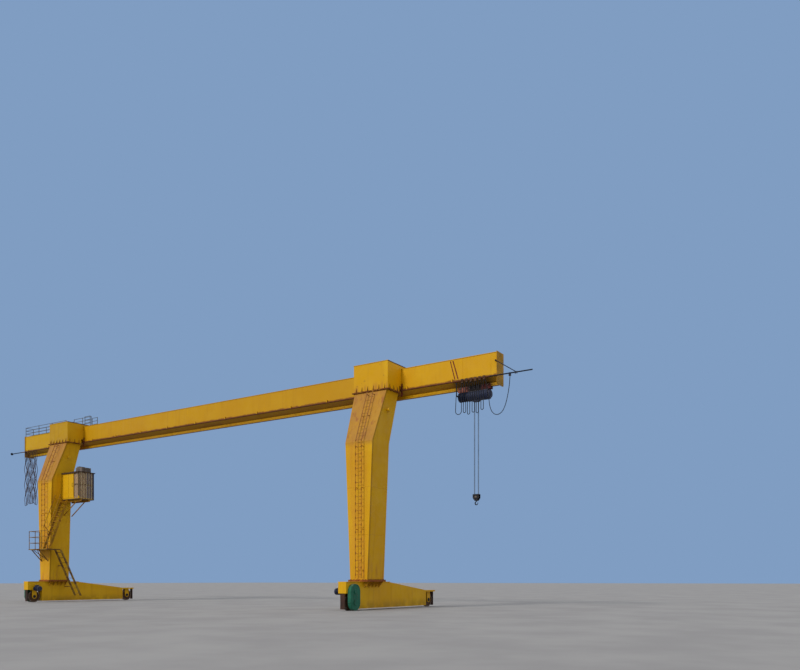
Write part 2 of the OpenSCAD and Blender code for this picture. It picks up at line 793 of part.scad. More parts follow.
// Stair flight between two stringers, from [y, z] at its foot to [y, z] at its top; its handrails
// begin at the share rail_from of its height
module flight(foot, top, rail_from) {
    dy = top[0] - foot[0];
    dz = top[1] - foot[1];
    n = floor(dz / tread_rise);
    half = 70 * dz / norm([dy, dz]);
    inner = stringer_t + seat;
    color(grey) for (x = [flight_x, flight_x + flight_w - stringer_t]) along_x(x, stringer_t, [
        [foot[0] - half, foot[1]], [foot[0] + half, foot[1]], [top[0] + half, top[1]], [top[0] - half, top[1]]
    ]);
    color(grey) for (i = [1 : n]) {
        t = (i - 0.5) / n;
        y = lerp(foot[0], top[0], t);
        z = lerp(foot[1], top[1], t);
        block([flight_x + inner, y - tread_d / 2, z - 12], [flight_x + flight_w - inner, y + tread_d / 2, z + 12]);
    }
    if (rail_from != undef) color(yellow) for (s = [-1, 1]) {
        side_x = flight_x + flight_w / 2 + s * (flight_w / 2 + tube_r + seat);
        up = [0, -sign(dy) * 330, 420];
        rail = [-s * (2 * tube_r + seat), 0, 0] + up;
        for (t = [rail_from + 0.05, (rail_from + 0.94) / 2, 0.89]) {
            p = [side_x, lerp(foot[0], top[0], t), lerp(foot[1], top[1], t)];
            rod(p, p + up, tube_r);
        }
        rod([side_x, lerp(foot[0], top[0], rail_from), lerp(foot[1], top[1], rail_from)] + rail,
            [side_x, lerp(foot[0], top[0], 0.94), lerp(foot[1], top[1], 0.94)] + rail, tube_r);
    }
}

module stair_lower_flight() {
    flight([lower_foot_y, lower_foot_z], [lower_top_y + 45, landing_z - landing_t - seat]);
    color(yellow) difference() {
        for (t = [0.2, 0.65]) {
            y = lerp(lower_foot_y, lower_top_y, t);
            z = lerp(lower_foot_z, landing_z, t);
            low_x = z < beam_top ? x_far + beam_w / 2 : x_far;
            block([low_x, y - 30, z - 25], [flight_x - seat, y + 30, z + 25]);
        }
        leg(x_far);
    }
}

module stair_upper_flight() {
    flight([upper_foot_y, landing_z + seat], [cab_y - 66, cab_z + 20], 0.27);
}

module festoon_pipe() {
    strut_r = 16;
    strut_y = y_web - end_plate_lip - strut_r - 8;
    lug = [x_right - 60, strut_y, pipe_z + strut_rise];
    strut_end = [x_right + strut_reach, pipe_y, pipe_z];
    along = (strut_end - lug) / norm(strut_end - lug);
    stop_t = 40;
    end = x_left - far_arm_l;
    color(dark) {
        disc_x(end + stop_t + seat, x_right + arm_l, pipe_y, pipe_z, pipe_r);
        disc_x(end, end + stop_t, pipe_y, pipe_z, stop_r);
        difference() {
            rod(lug, strut_end, strut_r);
            disc_x(x_right, x_right + arm_l, pipe_y, pipe_z, pipe_r + seat);
        }
        difference() {
            block(lug - [25, 0, 25], [lug[0] + 25, y_web + flange_lip, lug[2] + 25]);
            rod(lug - along * 60, lug + along * 100, strut_r + seat);
        }
        difference() {
            block([clamp_x - 40, pipe_y - 37, carrier_foot], [clamp_x + 40, pipe_y + 20, pipe_z]);
            disc_x(clamp_x - 41, clamp_x + 41, pipe_y, pipe_z, pipe_r + seat);
        }
    }
}

// Straps that hold the pipe off the girder's front web: a foot, an arm, a drop and a lug at the pipe
module festoon_brackets() {
    web = y_web + flange_lip;
    back = pipe_y + pipe_r;
    t = 8;
    arm_z = web_bottom + 60;
    n = floor((girder_l - 700) / bracket_pitch);
    color(yellow) for (i = [0 : n]) {
        x = x_left + 350 + i * bracket_pitch;
        block([x - 25, web - t, web_bottom + 15], [x + 25, web, web_bottom + 110]);
        block([x - 25, back + 16, arm_z], [x + 25, web - t - seat, arm_z + t]);
        block([x - 25, back + 16, pipe_z - 12], [x + 25, back + 16 + t, arm_z - seat]);
        block([x - 25, back + seat, pipe_z - 12], [x + 25, back + 16 - seat, pipe_z + 12]);
    }
}

// Cable carrier: a roller on the pipe, a cheek in front of it and a clamp below it
module carrier(i) {
    x = carrier_x(i);
    front = pipe_y - pipe_r - 6;
    roller = 14;
    color(dark) {
        block([x - carrier_l / 2, front - 6, carrier_foot], [x + carrier_l / 2, front, pipe_z + pipe_r + 40]);
        block([x - carrier_l / 2, front, carrier_foot], [x + carrier_l / 2, pipe_y + 20, carrier_foot + 30]);
        for (s = [-1, 1])
            disc_y(front - 1, pipe_y + 15, x + s * carrier_l / 4, pipe_z + pipe_r + seat + roller, roller);
    }
}

module carrier_1() { carrier(1); }
module carrier_2() { carrier(2); }
module carrier_3() { carrier(3); }
module carrier_4() { carrier(4); }
module carrier_5() { carrier(5); }
module carrier_6() { carrier(6); }

// Solid outline of hanging loops
module loop_sheet(x0, x1, z0, z1, r, t, y) {
    translate([0, y + t / 2, 0]) rotate([90, 0, 0]) linear_extrude(t) round_foot(x0, x1, z0, z1, r);
}

module festoon_bundle() {
    color(dark) loop_sheet(tow_x + cable_r, carrier_x(carriers), carrier_foot - loop_depth,
                           carrier_foot - seat, 90, 2 * cable_r, pipe_y);
}

module stowed_cable() {
    top = pipe_z - pipe_r - seat;
    color(dark) loop_sheet(x_left + 100, x_left + 100 + stowed_w, top - stowed_depth, top, 90, 64, pipe_y);
}

// Route of the large loop between the last carrier and the clamp on the arm: [x, z] from the carrier
loop_route = [
    [60, 0], [60, -40], [70, -110], [95, -230], [128, -360], [160, -500], [186, -650], [204, -800],
    [222, -950], [248, -1090], [292, -1220], [357, -1330], [442, -1410], [540, -1445], [640, -1440],
    [735, -1395], [815, -1315], [880, -1205], [935, -1075], [980, -930], [1020, -770], [1055, -600],
    [1085, -420], [1108, -220], [1120, -40], [1120, 0]
];

// Tube of n sides along points in an upright plane along X, with one radius or one for each point
module swept_tube(points, r, n) {
    last = len(points) - 1;
    function radius(i) = is_list(r) ? r[i] : r;
    function dir(i) =
        let (a = points[max(i - 1, 0)], b = points[min(i + 1, last)], v = b - a) v / norm(v);
    rings = [for (i = [0 : last]) let (d = dir(i), side = [0, 1, 0], up = cross(d, side))
        for (k = [0 : n - 1]) points[i] + radius(i) * (cos(360 * k / n) * side + sin(360 * k / n) * up)];
    faces = concat(
        [[for (k = [0 : n - 1]) k]],
        [for (i = [0 : last - 1], k = [0 : n - 1])
            [i * n + k, (i + 1) * n + k, (i + 1) * n + (k + 1) % n, i * n + (k + 1) % n]],
        [[for (k = [n - 1 : -1 : 0]) last * n + k]]
    );
    polyhedron(points = rings, faces = faces, convexity = 8);
}

module festoon_cable() {
    width = clamp_x - carrier_x(carriers);
    scale_x = (width - 60) / (loop_route[len(loop_route) - 1][0] - loop_route[0][0]);
    color(dark) swept_tube([for (p = loop_route)
        [carrier_x(carriers) + 60 + (p[0] - 60) * scale_x, pipe_y, carrier_foot - seat + p[1]]],
        cable_r, 8);
}

// Carriage: two cheeks with wheels on the running flange, joined below it over the drum
module hoist_carriage() {
    inner = running_flange_w / 2 + 15;
    outer = inner + 12;
    wheel_z = flange_top + seat + runner_r;
    base = rail_bottom - hoist_clear;
    color(dark) {
        for (s = [-1, 1]) {
            y0 = s > 0 ? y_mid + inner : y_mid - outer;
            block([hoist_x - carriage_l / 2, y0, base - 60], [hoist_x + carriage_l / 2, y0 + 12, wheel_z + 40]);
            for (t = [-1, 1]) {
                wx = hoist_x + t * (carriage_l / 2 - 110);
                a = s > 0 ? y_mid + 14 : y_mid - 62;
                disc_y(a, a + 48, wx, wheel_z, runner_r);
                disc_y(min(y0, a), max(y0 + 12, a + 48), wx, wheel_z, 18);
            }
        }
        difference() {
            block([hoist_x - carriage_l / 2, y_mid - outer, drum_z + 0.85 * drum_r],
                  [hoist_x + carriage_l / 2, y_mid + outer, base]);
            disc_x(hoist_x - hoist_l, hoist_x + hoist_l, y_mid, drum_z, drum_r + seat);
            disc_x(hoist_x + hoist_l / 2 - hoist_gear_l - seat, hoist_x + hoist_l, y_mid, drum_z,
                   drum_r + gear_lip + seat);
        }
    }
}

module hoist_drum_casing() {
    x0 = hoist_x - hoist_l / 2 + hoist_motor_l;
    x1 = hoist_x + hoist_l / 2 - hoist_gear_l;
    color(slate) {
        disc_x(x0, x1, y_mid, drum_z, drum_r);
        block([hook_x - rope_x - 40, y_mid - 80, guide_bottom], [hook_x + rope_x + 40, y_mid + 80, drum_z]);
    }
}

module hoist_motor() {
    x0 = hoist_x - hoist_l / 2;
    color(slate) {
        disc_x(x0 + 60, x0 + hoist_motor_l, y_mid, drum_z, drum_r - 30);
        disc_x(x0, x0 + 60, y_mid, drum_z, drum_r - 12);
    }
}

module hoist_gearbox() {
    x1 = hoist_x + hoist_l / 2;
    color(slate) {
        disc_x(x1 - hoist_gear_l, x1 - 70, y_mid, drum_z, drum_r + gear_lip);
        disc_x(x1 - 70, x1, y_mid, drum_z, drum_r - 50);
    }
}

module hoist_control_box() {
    x0 = hoist_x - hoist_l / 2 + hoist_motor_l + 60;
    color(grey) difference() {
        block([x0, y_mid + drum_r - 30, drum_z - 130], [x0 + 420, y_mid + drum_r + 120, drum_z + 130]);
        disc_x(x0 - 1, x0 + 421, y_mid, drum_z, drum_r + seat);
    }
}

// Arm that tows the first loop of the festoon: it rises behind the loops
module tow_arm() {
    motor_front = y_mid - drum_r + 12;
    back = pipe_y + cable_r + 8;
    color(dark) {
        block([tow_x - 35, pipe_y - 20, carrier_foot], [tow_x + 35, back + 12, carrier_foot + 30]);
        block([tow_x - 20, back, drum_z - 20], [tow_x + 20, back + 12, carrier_foot]);
        difference() {
            block([tow_x - 20, back + 11, drum_z - 20], [tow_x + 20, motor_front + 20, drum_z + 20]);
            disc_x(tow_x - 60, tow_x + 60, y_mid, drum_z, drum_r - 12 + seat);
        }
    }
}

module hoist_ropes() {
    color(grey) for (sx = [-1, 1], sy = [-1, 1])
        translate([hook_x + sx * rope_x, y_mid + sy * rope_y, block_top])
            cylinder(r = rope_r, h = guide_bottom - block_top);
}

// Hook block: cheeks with two grooved sheaves on one axle, a guard over them and a crosshead below
module hook_block() {
    half_l = 135;
    half_t = 80;
    cheek = 14;
    axle = block_z - 10;
    color(dark) {
        for (y = [y_mid - half_t, y_mid + half_t - cheek]) along_y(y, cheek, [
            [hook_x - half_l, block_top], [hook_x - half_l, block_z - 50], [hook_x - 75, block_bottom + 30],
            [hook_x + 75, block_bottom + 30], [hook_x + half_l, block_z - 50], [hook_x + half_l, block_top]
        ]);
        block([hook_x - half_l, y_mid - half_t, block_top - 14], [hook_x + half_l, y_mid + half_t, block_top]);
        for (s = [-1, 1]) translate([hook_x, y_mid + s * rope_y, axle]) rotate([90, 0, 0]) rotate_extrude() polygon([
            [0, -17], [98, -17], [98, -13], [rope_x - rope_r, -5], [rope_x - rope_r, 5], [98, 13], [98, 17], [0, 17]
        ]);
        disc_y(y_mid - half_t - 12, y_mid + half_t + 12, hook_x, axle, 24);
        difference() {
            block([hook_x - 60, y_mid - half_t, block_bottom], [hook_x + 60, y_mid + half_t, block_bottom + 40]);
            translate([hook_x, y_mid, block_bottom - 1]) cylinder(r = shank_r + 0.06, h = 42);
        }
    }
}

// Hook: shank through the crosshead, nut above it, and a bow that swells below and thins towards its nose
module hook() {
    bow = 62;
    z = block_bottom - 95;
    turns = 16;
    neck = [[0, 92], [-3, 76], [-13, 64]];
    round = [for (i = [0 : turns]) let (a = lerp(118, 342, i / turns)) bow * [cos(a), sin(a)]];
    nose = [[64, 4], [70, 18]];
    line = concat(neck, round, nose);
    last = len(line) - 1;
    thick = [for (i = [0 : last]) let (t = i / last) t < 0.55 ? lerp(18, 25, t / 0.55) : lerp(25, 8, (t - 0.55) / 0.45)];
    color(dark) {
        translate([hook_x, y_mid, z + 78]) cylinder(r = shank_r, h = block_bottom + 40 + seat - z - 78);
        translate([hook_x, y_mid, block_bottom + 40 + seat]) cylinder(r = 32, h = 10);
        swept_tube([for (q = line) [hook_x + q[0], y_mid, z + q[1]]], thick, 12);
    }
}

girder_box();
girder_rail_beam();
girder_end_plates();
saddle_near();
saddle_far();
leg_near();
leg_far();
leg_top_flanges();
leg_base_flanges();
ground_beam_near();
ground_beam_far();
gear_covers();
drive_motors();
rail_guards();
wheel_near_front();
wheel_near_rear();
wheel_far_front();
wheel_far_rear();
ladder_near();
ladder_far();
lifting_trunnions();
girder_guard_rail();
cab_frame();
cab_glass();
cab_window_bars();
cab_roof_unit();
cab_support();
stair_landing();
stair_lower_flight();
stair_upper_flight();
festoon_pipe();
festoon_brackets();
festoon_bundle();
festoon_cable();
stowed_cable();
carrier_1();
carrier_2();
carrier_3();
carrier_4();
carrier_5();
carrier_6();
hoist_carriage();
hoist_drum_casing();
hoist_motor();
hoist_gearbox();
hoist_control_box();
tow_arm();
hoist_ropes();
hook_block();
hook();
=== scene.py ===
"""Looks of a travelling gantry crane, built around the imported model."""

import math

import bmesh
import bpy
from mathutils import Matrix, Vector


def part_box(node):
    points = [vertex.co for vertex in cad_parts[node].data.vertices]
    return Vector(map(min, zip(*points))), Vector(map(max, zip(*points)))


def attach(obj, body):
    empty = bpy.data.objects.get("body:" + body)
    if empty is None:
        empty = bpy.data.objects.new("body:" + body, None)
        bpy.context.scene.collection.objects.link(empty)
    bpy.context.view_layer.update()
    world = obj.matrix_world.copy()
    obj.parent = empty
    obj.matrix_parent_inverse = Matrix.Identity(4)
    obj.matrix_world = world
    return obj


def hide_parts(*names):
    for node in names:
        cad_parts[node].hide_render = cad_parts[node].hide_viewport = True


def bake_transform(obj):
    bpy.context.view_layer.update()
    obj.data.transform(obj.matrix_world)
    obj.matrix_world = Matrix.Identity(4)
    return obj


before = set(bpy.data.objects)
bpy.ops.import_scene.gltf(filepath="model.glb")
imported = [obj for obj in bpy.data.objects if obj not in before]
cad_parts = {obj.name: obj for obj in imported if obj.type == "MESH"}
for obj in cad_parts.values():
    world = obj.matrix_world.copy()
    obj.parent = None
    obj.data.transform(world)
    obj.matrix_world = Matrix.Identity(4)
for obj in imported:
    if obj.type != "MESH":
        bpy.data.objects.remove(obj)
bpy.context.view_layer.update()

X = Vector((1, 0, 0))
Y = Vector((0, 1, 0))
Z = Vector((0, 0, 1))
BOTH = (-1, 1)


def corners(node):
    """The low and the high corner of a node's box."""
    return [Vector(c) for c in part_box(node)]


def middle_x(node):
    """The middle of a node's box along the girder."""
    low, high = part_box(node)
    return (low[0] + high[0]) / 2


# Places taken from the model
GIRDER_LOW, GIRDER_HIGH = corners("girder_box")
CAB_LOW, CAB_HIGH = corners("cab_frame")
SADDLES = [corners(n) for n in ("saddle_near", "saddle_far")]
LEGS = [corners(n) for n in ("leg_near", "leg_far")]
LEG_X = [(low.x + high.x) / 2 for low, high in LEGS]
LEG_FRONT = LEGS[0][0].y
FOOT_Z = LEGS[0][0].z
HEAD_Z = LEGS[0][1].z
HEAD_FRONT = -1.465
BEND_Z = 6.93
BEAM_TOP = corners("ground_beam_near")[1].z
GIRDER_Y = (GIRDER_LOW.y + GIRDER_HIGH.y) / 2
GIRDER_TOP = GIRDER_HIGH.z
WEB_BOTTOM = GIRDER_TOP - 0.9
FLANGE_LIP = 0.015
WEB_Y = GIRDER_LOW.y + FLANGE_LIP
LADDER_X = middle_x("ladder_near") - LEG_X[0]
FIRST_RUNG = 0.15
RUNG_PITCH = 0.29

# Travel gear: axles, treads, motors over the axles and the covers' outer faces
AXLE_Y = 2.925
AXLE_Z = 0.325
TREAD_R = 0.3
MOTOR_RISE = 0.445
COVER_OUT = 0.35

# Festoon
PIPE_Y = -0.565
PIPE_Z = 9.265
PIPE_R = 0.025
BRACKET_PITCH = 2.2
CARRIER_FOOT = 9.17
CABLE_R = 0.014
CABLE_BEND = 0.056
CARRIERS = ["carrier_%d" % (i + 1) for i in range(6)]
CARRIER_X = [middle_x(n) for n in CARRIERS]
TOW_X = middle_x("tow_arm")
TOW_END = TOW_X + 0.016
CLAMP_X = CARRIER_X[-1] + 1.120


# Camera, at the photograph's viewing place beyond the near leg
CAMERA_PLACE = Vector((LEG_X[0] + 18.527, -26.168, 1.212))
VIEW_DIRECTION = Vector((-0.5183, 0.8552, 0))
FOCAL_PIXELS = 731.26
IMAGE_WIDTH = 800
IMAGE_HEIGHT = 670
VANISHING_CENTRE = (442.90, 580.61)
SENSOR = 36


def set_camera():
    data = bpy.data.cameras.new("camera")
    data.sensor_width = SENSOR
    data.lens = FOCAL_PIXELS * SENSOR / IMAGE_WIDTH
    data.shift_x = (IMAGE_WIDTH / 2 - VANISHING_CENTRE[0]) / IMAGE_WIDTH
    data.shift_y = (VANISHING_CENTRE[1] - IMAGE_HEIGHT / 2) / IMAGE_WIDTH
    data.clip_end = 500
    camera = bpy.data.objects.new("camera", data)
    camera.location = CAMERA_PLACE
    camera.rotation_euler = VIEW_DIRECTION.to_track_quat("-Z", "Y").to_euler()
    bpy.context.scene.collection.objects.link(camera)
    bpy.context.scene.camera = camera


set_camera()


# Materials. Colours are given as on a screen, three numbers from 0 to 255.

def linear(colour):
    """A screen colour as Blender's linear values."""
    shares = [v / 255 for v in colour]
    return [v / 12.92 if v <= 0.04045 else ((v + 0.055) / 1.055) ** 2.4 for v in shares] + [1]


class Finish:
    """A material being made: its nodes, the piece's own coordinates and its colour so far."""

    def __init__(self, name):
        self.material = bpy.data.materials.new(name)
        self.material.use_nodes = True
        self.tree = self.material.node_tree
        self.shader = self.tree.nodes["Principled BSDF"]
        self.place = self.node("TexCoord", {})["Object"]
        self.colour = None

    def feed(self, socket, value):
        """Links an output to a socket, or sets a plain value on it."""
        if isinstance(value, bpy.types.NodeSocket):
            self.tree.links.new(value, socket)
        else:
            socket.default_value = linear(value) if socket.type == "RGBA" else value

    def node(self, kind, inputs, **settings):
        """The outputs of a new node with these inputs and settings."""
        node = self.tree.nodes.new("ShaderNode" + kind)
        for name, value in settings.items():
            setattr(node, name, value)
        for key, value in inputs.items():
            self.feed(node.inputs[key], value)
        return node.outputs

    def stretched(self, scale):
        """The coordinates scaled along each axis, which stretches a pattern."""
        return self.node("Mapping", {"Scale": scale, "Vector": self.place})["Vector"]

    def noise(self, scale, stretch=(1, 1, 1), detail=4, roughness=0.6):
        return self.node("TexNoise", {
            "Scale": scale, "Detail": detail, "Roughness": roughness, "Vector": self.stretched(stretch),
        })["Fac"]

    def ramp(self, value, low, high, out_low=0.0, out_high=1.0):
        """A soft step as value goes from low to high."""
        return self.node("MapRange", {
            "Value": value, "From Min": low, "From Max": high, "To Min": out_low, "To Max": out_high,
        }, interpolation_type="SMOOTHSTEP")["Result"]

    def math(self, operation, first, second=0.0):
        return self.node("Math", {0: first, 1: second}, operation=operation)["Value"]

    def times(self, first, *others):
        for other in others:
            first = self.math("MULTIPLY", first, other)
        return first

    def minus(self, first, second):
        return self.math("SUBTRACT", first, second)

    def mix(self, factor, first, second):
        return self.node("Mix", {"Factor": factor, "A": first, "B": second}, data_type="RGBA")["Result"]

    def grade(self, value, low, high, first, second):
        """The first colour going over to the second as value goes from low to high."""
        return self.mix(self.ramp(value, low, high), first, second)

    def coat(self, tone, *shares):
        """Lays a tone over the colour so far, as strong as the product of the shares."""
        self.colour = self.mix(self.times(*shares), self.colour, tone)

    def axis(self, letter):
        """One of the piece's coordinates, in metres."""
        return self.node("SeparateXYZ", {"Vector": self.place})[letter]

    def away(self, letter, place):
        """The distance from a place along an axis."""
        return self.math("ABSOLUTE", self.minus(self.axis(letter), place))

    def within(self, value, low, high):
        return self.times(self.math("GREATER_THAN", value, low), self.math("LESS_THAN", value, high))

    def band(self, letter, low, high, soft):
        """1 between two places along an axis, fading to 0 over a soft edge outside."""
        axis = self.axis(letter)
        return self.times(self.ramp(axis, low - soft, low), self.ramp(axis, high, high + soft, 1, 0))

    def facing(self, letter):
        """How far the surface looks along an axis, from -1 to 1."""
        normal = self.node("NewGeometry", {})["True Normal"]
        return self.node("SeparateXYZ", {"Vector": normal})[letter]

    def front(self):
        """1 on what looks at the front."""
        return self.ramp(self.facing("Y"), -0.9, -0.6, 1, 0)

    def bump(self, height, distance, strength=0.5):
        bump = self.node("Bump", {"Distance": distance, "Strength": strength, "Height": height})
        self.feed(self.shader.inputs["Normal"], bump["Normal"])

    def done(self, roughness, metallic=0.0, shine=0.2):
        for name, value in (
            ("Base Color", self.colour), ("Roughness", roughness), ("Metallic", metallic),
            ("Specular IOR Level", shine),
        ):
            self.feed(self.shader.inputs[name], value)
        return self.material


FRESH_YELLOW = (212, 156, 2)
FADED_YELLOW = (220, 168, 12)
DULL_YELLOW = (190, 134, 10)
RUST = (118, 62, 26)
LIGHT_RUST = (168, 104, 48)
# Grime, also the tone of painted shade on faces that look down
GRIME_AND_SHADE = (70, 54, 30)


def yellow_base(name):
    """Sun-bleached yellow paint with patches, upright runs and rust specks."""
    mat = Finish(name)
    mat.colour = mat.grade(mat.noise(0.45, detail=3), 0.35, 0.65, FRESH_YELLOW, FADED_YELLOW)
    mat.coat(DULL_YELLOW, mat.ramp(mat.noise(5.0, (1, 1, 0.08), 5), 0.5, 0.8, 0, 0.55))
    mat.coat(RUST, mat.ramp(mat.noise(14, detail=6, roughness=0.75), 0.69, 0.76), 0.75)
    return mat


def weather_and_underside_shade(mat):
    """Dust on what looks up, painted shade on what looks down and splashes of grime near the ground."""
    up = mat.facing("Z")
    mat.coat((178, 156, 100), mat.ramp(up, 0.75, 0.98, 0, 0.45))
    # Faces that look down are darkened: painted shade.
    mat.coat(GRIME_AND_SHADE, mat.ramp(up, -0.98, -0.3, 0.45, 0))
    splash = mat.ramp(mat.axis("Z"), 0.1, 0.5, 0.35, 0)
    mat.coat(GRIME_AND_SHADE, splash, mat.ramp(mat.noise(2.4, detail=5), 0.3, 0.6))


def painted_plate(mat, glossy, dull):
    """Ends a coat of paint: weather with painted shade on what looks down, orange-peel skin, slightly
    buckled plate and blotchy gloss.
    """
    weather_and_underside_shade(mat)
    skin = mat.times(mat.noise(90, detail=2), 0.03)
    plate = mat.times(mat.noise(0.9, detail=2), 0.9)
    mat.bump(mat.math("ADD", skin, plate), 0.02)
    return mat.done(mat.ramp(mat.noise(3), 0.3, 0.7, glossy, dull))


# Two painted marks on the web beyond the near leg, as [x at the bottom, x at the top, width]
MARKS = ((3.515, 3.302, 0.050), (3.665, 3.425, 0.058))
MARK_LOW = 9.40
MARK_HIGH = 10.17
# Stretch of the girder over the hoist, darkened as a painted shadow of the hoist and its carriage
HOIST_SHADOW_SPAN = (14.75, 15.95)


def girder_paint():
    """Yellow paint with a rusty lower edge, rust with painted shade on the hopper faces that look down, a
    painted shadow of the hoist and two slanting red marks on the front web.
    """
    mat = yellow_base("girder_paint")
    height = mat.axis("Z")
    low = mat.minus(height, mat.times(mat.noise(3.2, (1, 1, 0.25), 5), 0.16))
    mat.coat((176, 124, 8), mat.band("X", LEG_X[1] + 2, LEG_X[0] - 2, 2.5), 0.45)
    ledge = mat.ramp(low, WEB_BOTTOM - 0.07, WEB_BOTTOM - 0.01, 0.85, 0)
    mat.coat(RUST, ledge, mat.ramp(height, WEB_BOTTOM - 0.03, WEB_BOTTOM - 0.01))
    # Rusty brown on the hopper faces that look down: rust stains with painted shade.
    under = mat.ramp(mat.facing("Z"), -0.6, -0.1, 1, 0)
    hopper = mat.ramp(height, WEB_BOTTOM - 0.22, WEB_BOTTOM - 0.03, 0.75, 0.12)
    stained = mat.ramp(mat.noise(1.6, (0.4, 1, 2), 5), 0.35, 0.65)
    mat.coat((132, 78, 26), under, hopper, mat.ramp(stained, 0, 1, 0.55, 1))
    # Painted shadow of the hoist and its carriage on the girder's lower edge.
    hoist_shadow = mat.ramp(low, WEB_BOTTOM - 0.12, WEB_BOTTOM, 0.75, 0)
    mat.coat((48, 32, 20), mat.band("X", *HOIST_SHADOW_SPAN, 0.5), hoist_shadow)
    mat.coat((150, 130, 6), mat.ramp(mat.axis("X"), LEG_X[1] - 2.2, LEG_X[1] - 1.2, 0.25, 0))
    front = mat.ramp(mat.facing("Y"), -0.98, -0.9, 1, 0)
    share = mat.math("DIVIDE", mat.minus(height, MARK_LOW), MARK_HIGH - MARK_LOW)
    inside = mat.within(share, 0.0, 1.0)
    worn = mat.ramp(mat.noise(7, detail=5), 0.3, 0.5, 0.75, 1)
    for bottom, top, width in MARKS:
        line = mat.math("ADD", mat.times(share, top - bottom), LEG_X[0] + bottom)
        stroke = mat.math("LESS_THAN", mat.away("X", line), width / 2)
        mat.coat((112, 40, 14), stroke, inside, front, worn)
    return painted_plate(mat, 0.42, 0.68)


def leg_paint():
    """Yellow paint, stained round the ladder, rusted over the sloping front, dark at the corners."""
    mat = yellow_base("leg_paint")
    height = mat.axis("Z")
    front = mat.front()
    stains = mat.noise(4.5, (1, 1, 0.16), 6, 0.7)
    beside = [mat.ramp(mat.away("X", centre - 0.08), 0.28, 0.62, 1, 0) for centre in LEG_X]
    stained = mat.ramp(stains, 0.36, 0.62, 0.12, 0.55)
    mat.coat((206, 138, 42), mat.math("MAXIMUM", *beside), stained, front)
    slope = mat.times(mat.ramp(height, BEND_Z - 0.25, BEND_Z + 0.1), front)
    blots = mat.noise(1.3, (1, 1, 0.4), 5)
    mat.coat((172, 120, 48), slope, mat.ramp(blots, 0.3, 0.7, 0.62, 1.0))
    mat.coat((150, 88, 44), slope, mat.ramp(stains, 0.5, 0.68, 0, 0.8))
    foot = mat.ramp(height, FOOT_Z + 0.1, FOOT_Z + 1.3, 1, 0)
    mat.coat(LIGHT_RUST, foot, mat.ramp(stains, 0.45, 0.7, 0, 0.6))
    lean = (HEAD_FRONT - LEG_FRONT) / (HEAD_Z - BEND_Z)
    above = mat.math("MAXIMUM", mat.minus(height, BEND_Z), 0.0)
    face_y = mat.math("ADD", mat.times(above, lean), LEG_FRONT)
    behind = mat.minus(mat.axis("Y"), face_y)
    mat.coat((122, 82, 10), mat.ramp(behind, 0.03, 0.14, 0.5, 0), mat.minus(1.0, front))
    return painted_plate(mat, 0.45, 0.75)


def saddle_paint():
    """Yellow paint with rust runs above the bolted flange, a dark top edge and painted light on one saddle's
    +X side.
    """
    mat = yellow_base("saddle_paint")
    low, high = SADDLES[0]
    height = mat.axis("Z")
    runs = mat.ramp(mat.noise(7, (1, 1, 0.12), 5), 0.45, 0.66, 0, 0.8)
    mat.coat(LIGHT_RUST, mat.ramp(height, low.z, low.z + 0.42, 1, 0), runs)
    blots = mat.noise(3.1, detail=6, roughness=0.7)
    mat.coat((150, 106, 30), mat.ramp(blots, 0.62, 0.72, 0, 0.7))
    mat.coat((130, 108, 20), mat.ramp(mat.axis("X"), -1, 1, 0.35, 0), mat.front())
    # Side faces looking along +X on the saddle beyond X = 1 are painted a brighter yellow: painted light on
    # a face in shade.
    side = mat.ramp(mat.facing("X"), 0.3, 0.8)
    mat.coat((248, 180, 0), side, mat.ramp(mat.axis("X"), -1, 1), 0.5)
    mat.coat((58, 48, 30), mat.ramp(height, high.z - 0.055, high.z - 0.02, 0, 0.85), side)
    return painted_plate(mat, 0.42, 0.7)


def rusty_plate():
    mat = Finish("rusty_plate")
    grain = mat.noise(22, detail=8, roughness=0.72)
    mat.colour = mat.grade(grain, 0.3, 0.7, (84, 46, 22), (136, 78, 34))
    mat.coat((176, 126, 34), mat.ramp(mat.noise(4, detail=6), 0.52, 0.62, 0, 0.85))
    mat.bump(grain, 0.004, 0.8)
    return mat.done(mat.ramp(grain, 0.3, 0.7, 0.7, 0.92))


def enamel(name, tone, worn, dirt=GRIME_AND_SHADE, gloss=0.42, rust=0.5):
    """A dull coloured enamel with chips, dust and oily dirt."""
    mat = Finish(name)
    clouds = mat.noise(2.2, detail=5)
    mat.colour = mat.grade(clouds, 0.3, 0.7, tone, worn)
    mat.coat(dirt, mat.ramp(mat.noise(9, (1, 1, 0.2), 5), 0.52, 0.75, 0, 0.6))
    mat.coat(RUST, mat.ramp(mat.noise(24, detail=6, roughness=0.75), 0.66, 0.72), rust)
    mat.coat((150, 138, 112), mat.ramp(mat.facing("Z"), 0.6, 0.98, 0, 0.35))
    mat.bump(mat.noise(60, detail=3), 0.002)
    return mat.done(mat.ramp(clouds, 0.3, 0.7, gloss, gloss + 0.25))


def wheel_steel(name, axle_y):
    """Rolled steel, bright on the tread and rusty on the sides."""
    mat = Finish(name)
    across = mat.minus(mat.axis("Y"), axle_y)
    up = mat.minus(mat.axis("Z"), AXLE_Z)
    away = mat.math("SQRT", mat.math("ADD", mat.times(across, across), mat.times(up, up)))
    grain = mat.noise(30, detail=6)
    mat.colour = mat.grade(grain, 0.35, 0.65, (70, 52, 40), (104, 74, 50))
    tread = mat.within(away, TREAD_R - 0.004, TREAD_R + 0.006)
    bright = mat.times(tread, mat.ramp(grain, 0.2, 0.6, 0.6, 1))
    mat.coat((150, 146, 140), bright)
    mat.bump(grain, 0.002)
    return mat.done(mat.ramp(bright, 0, 1, 0.75, 0.32), mat.ramp(bright, 0, 1, 0.1, 0.9))


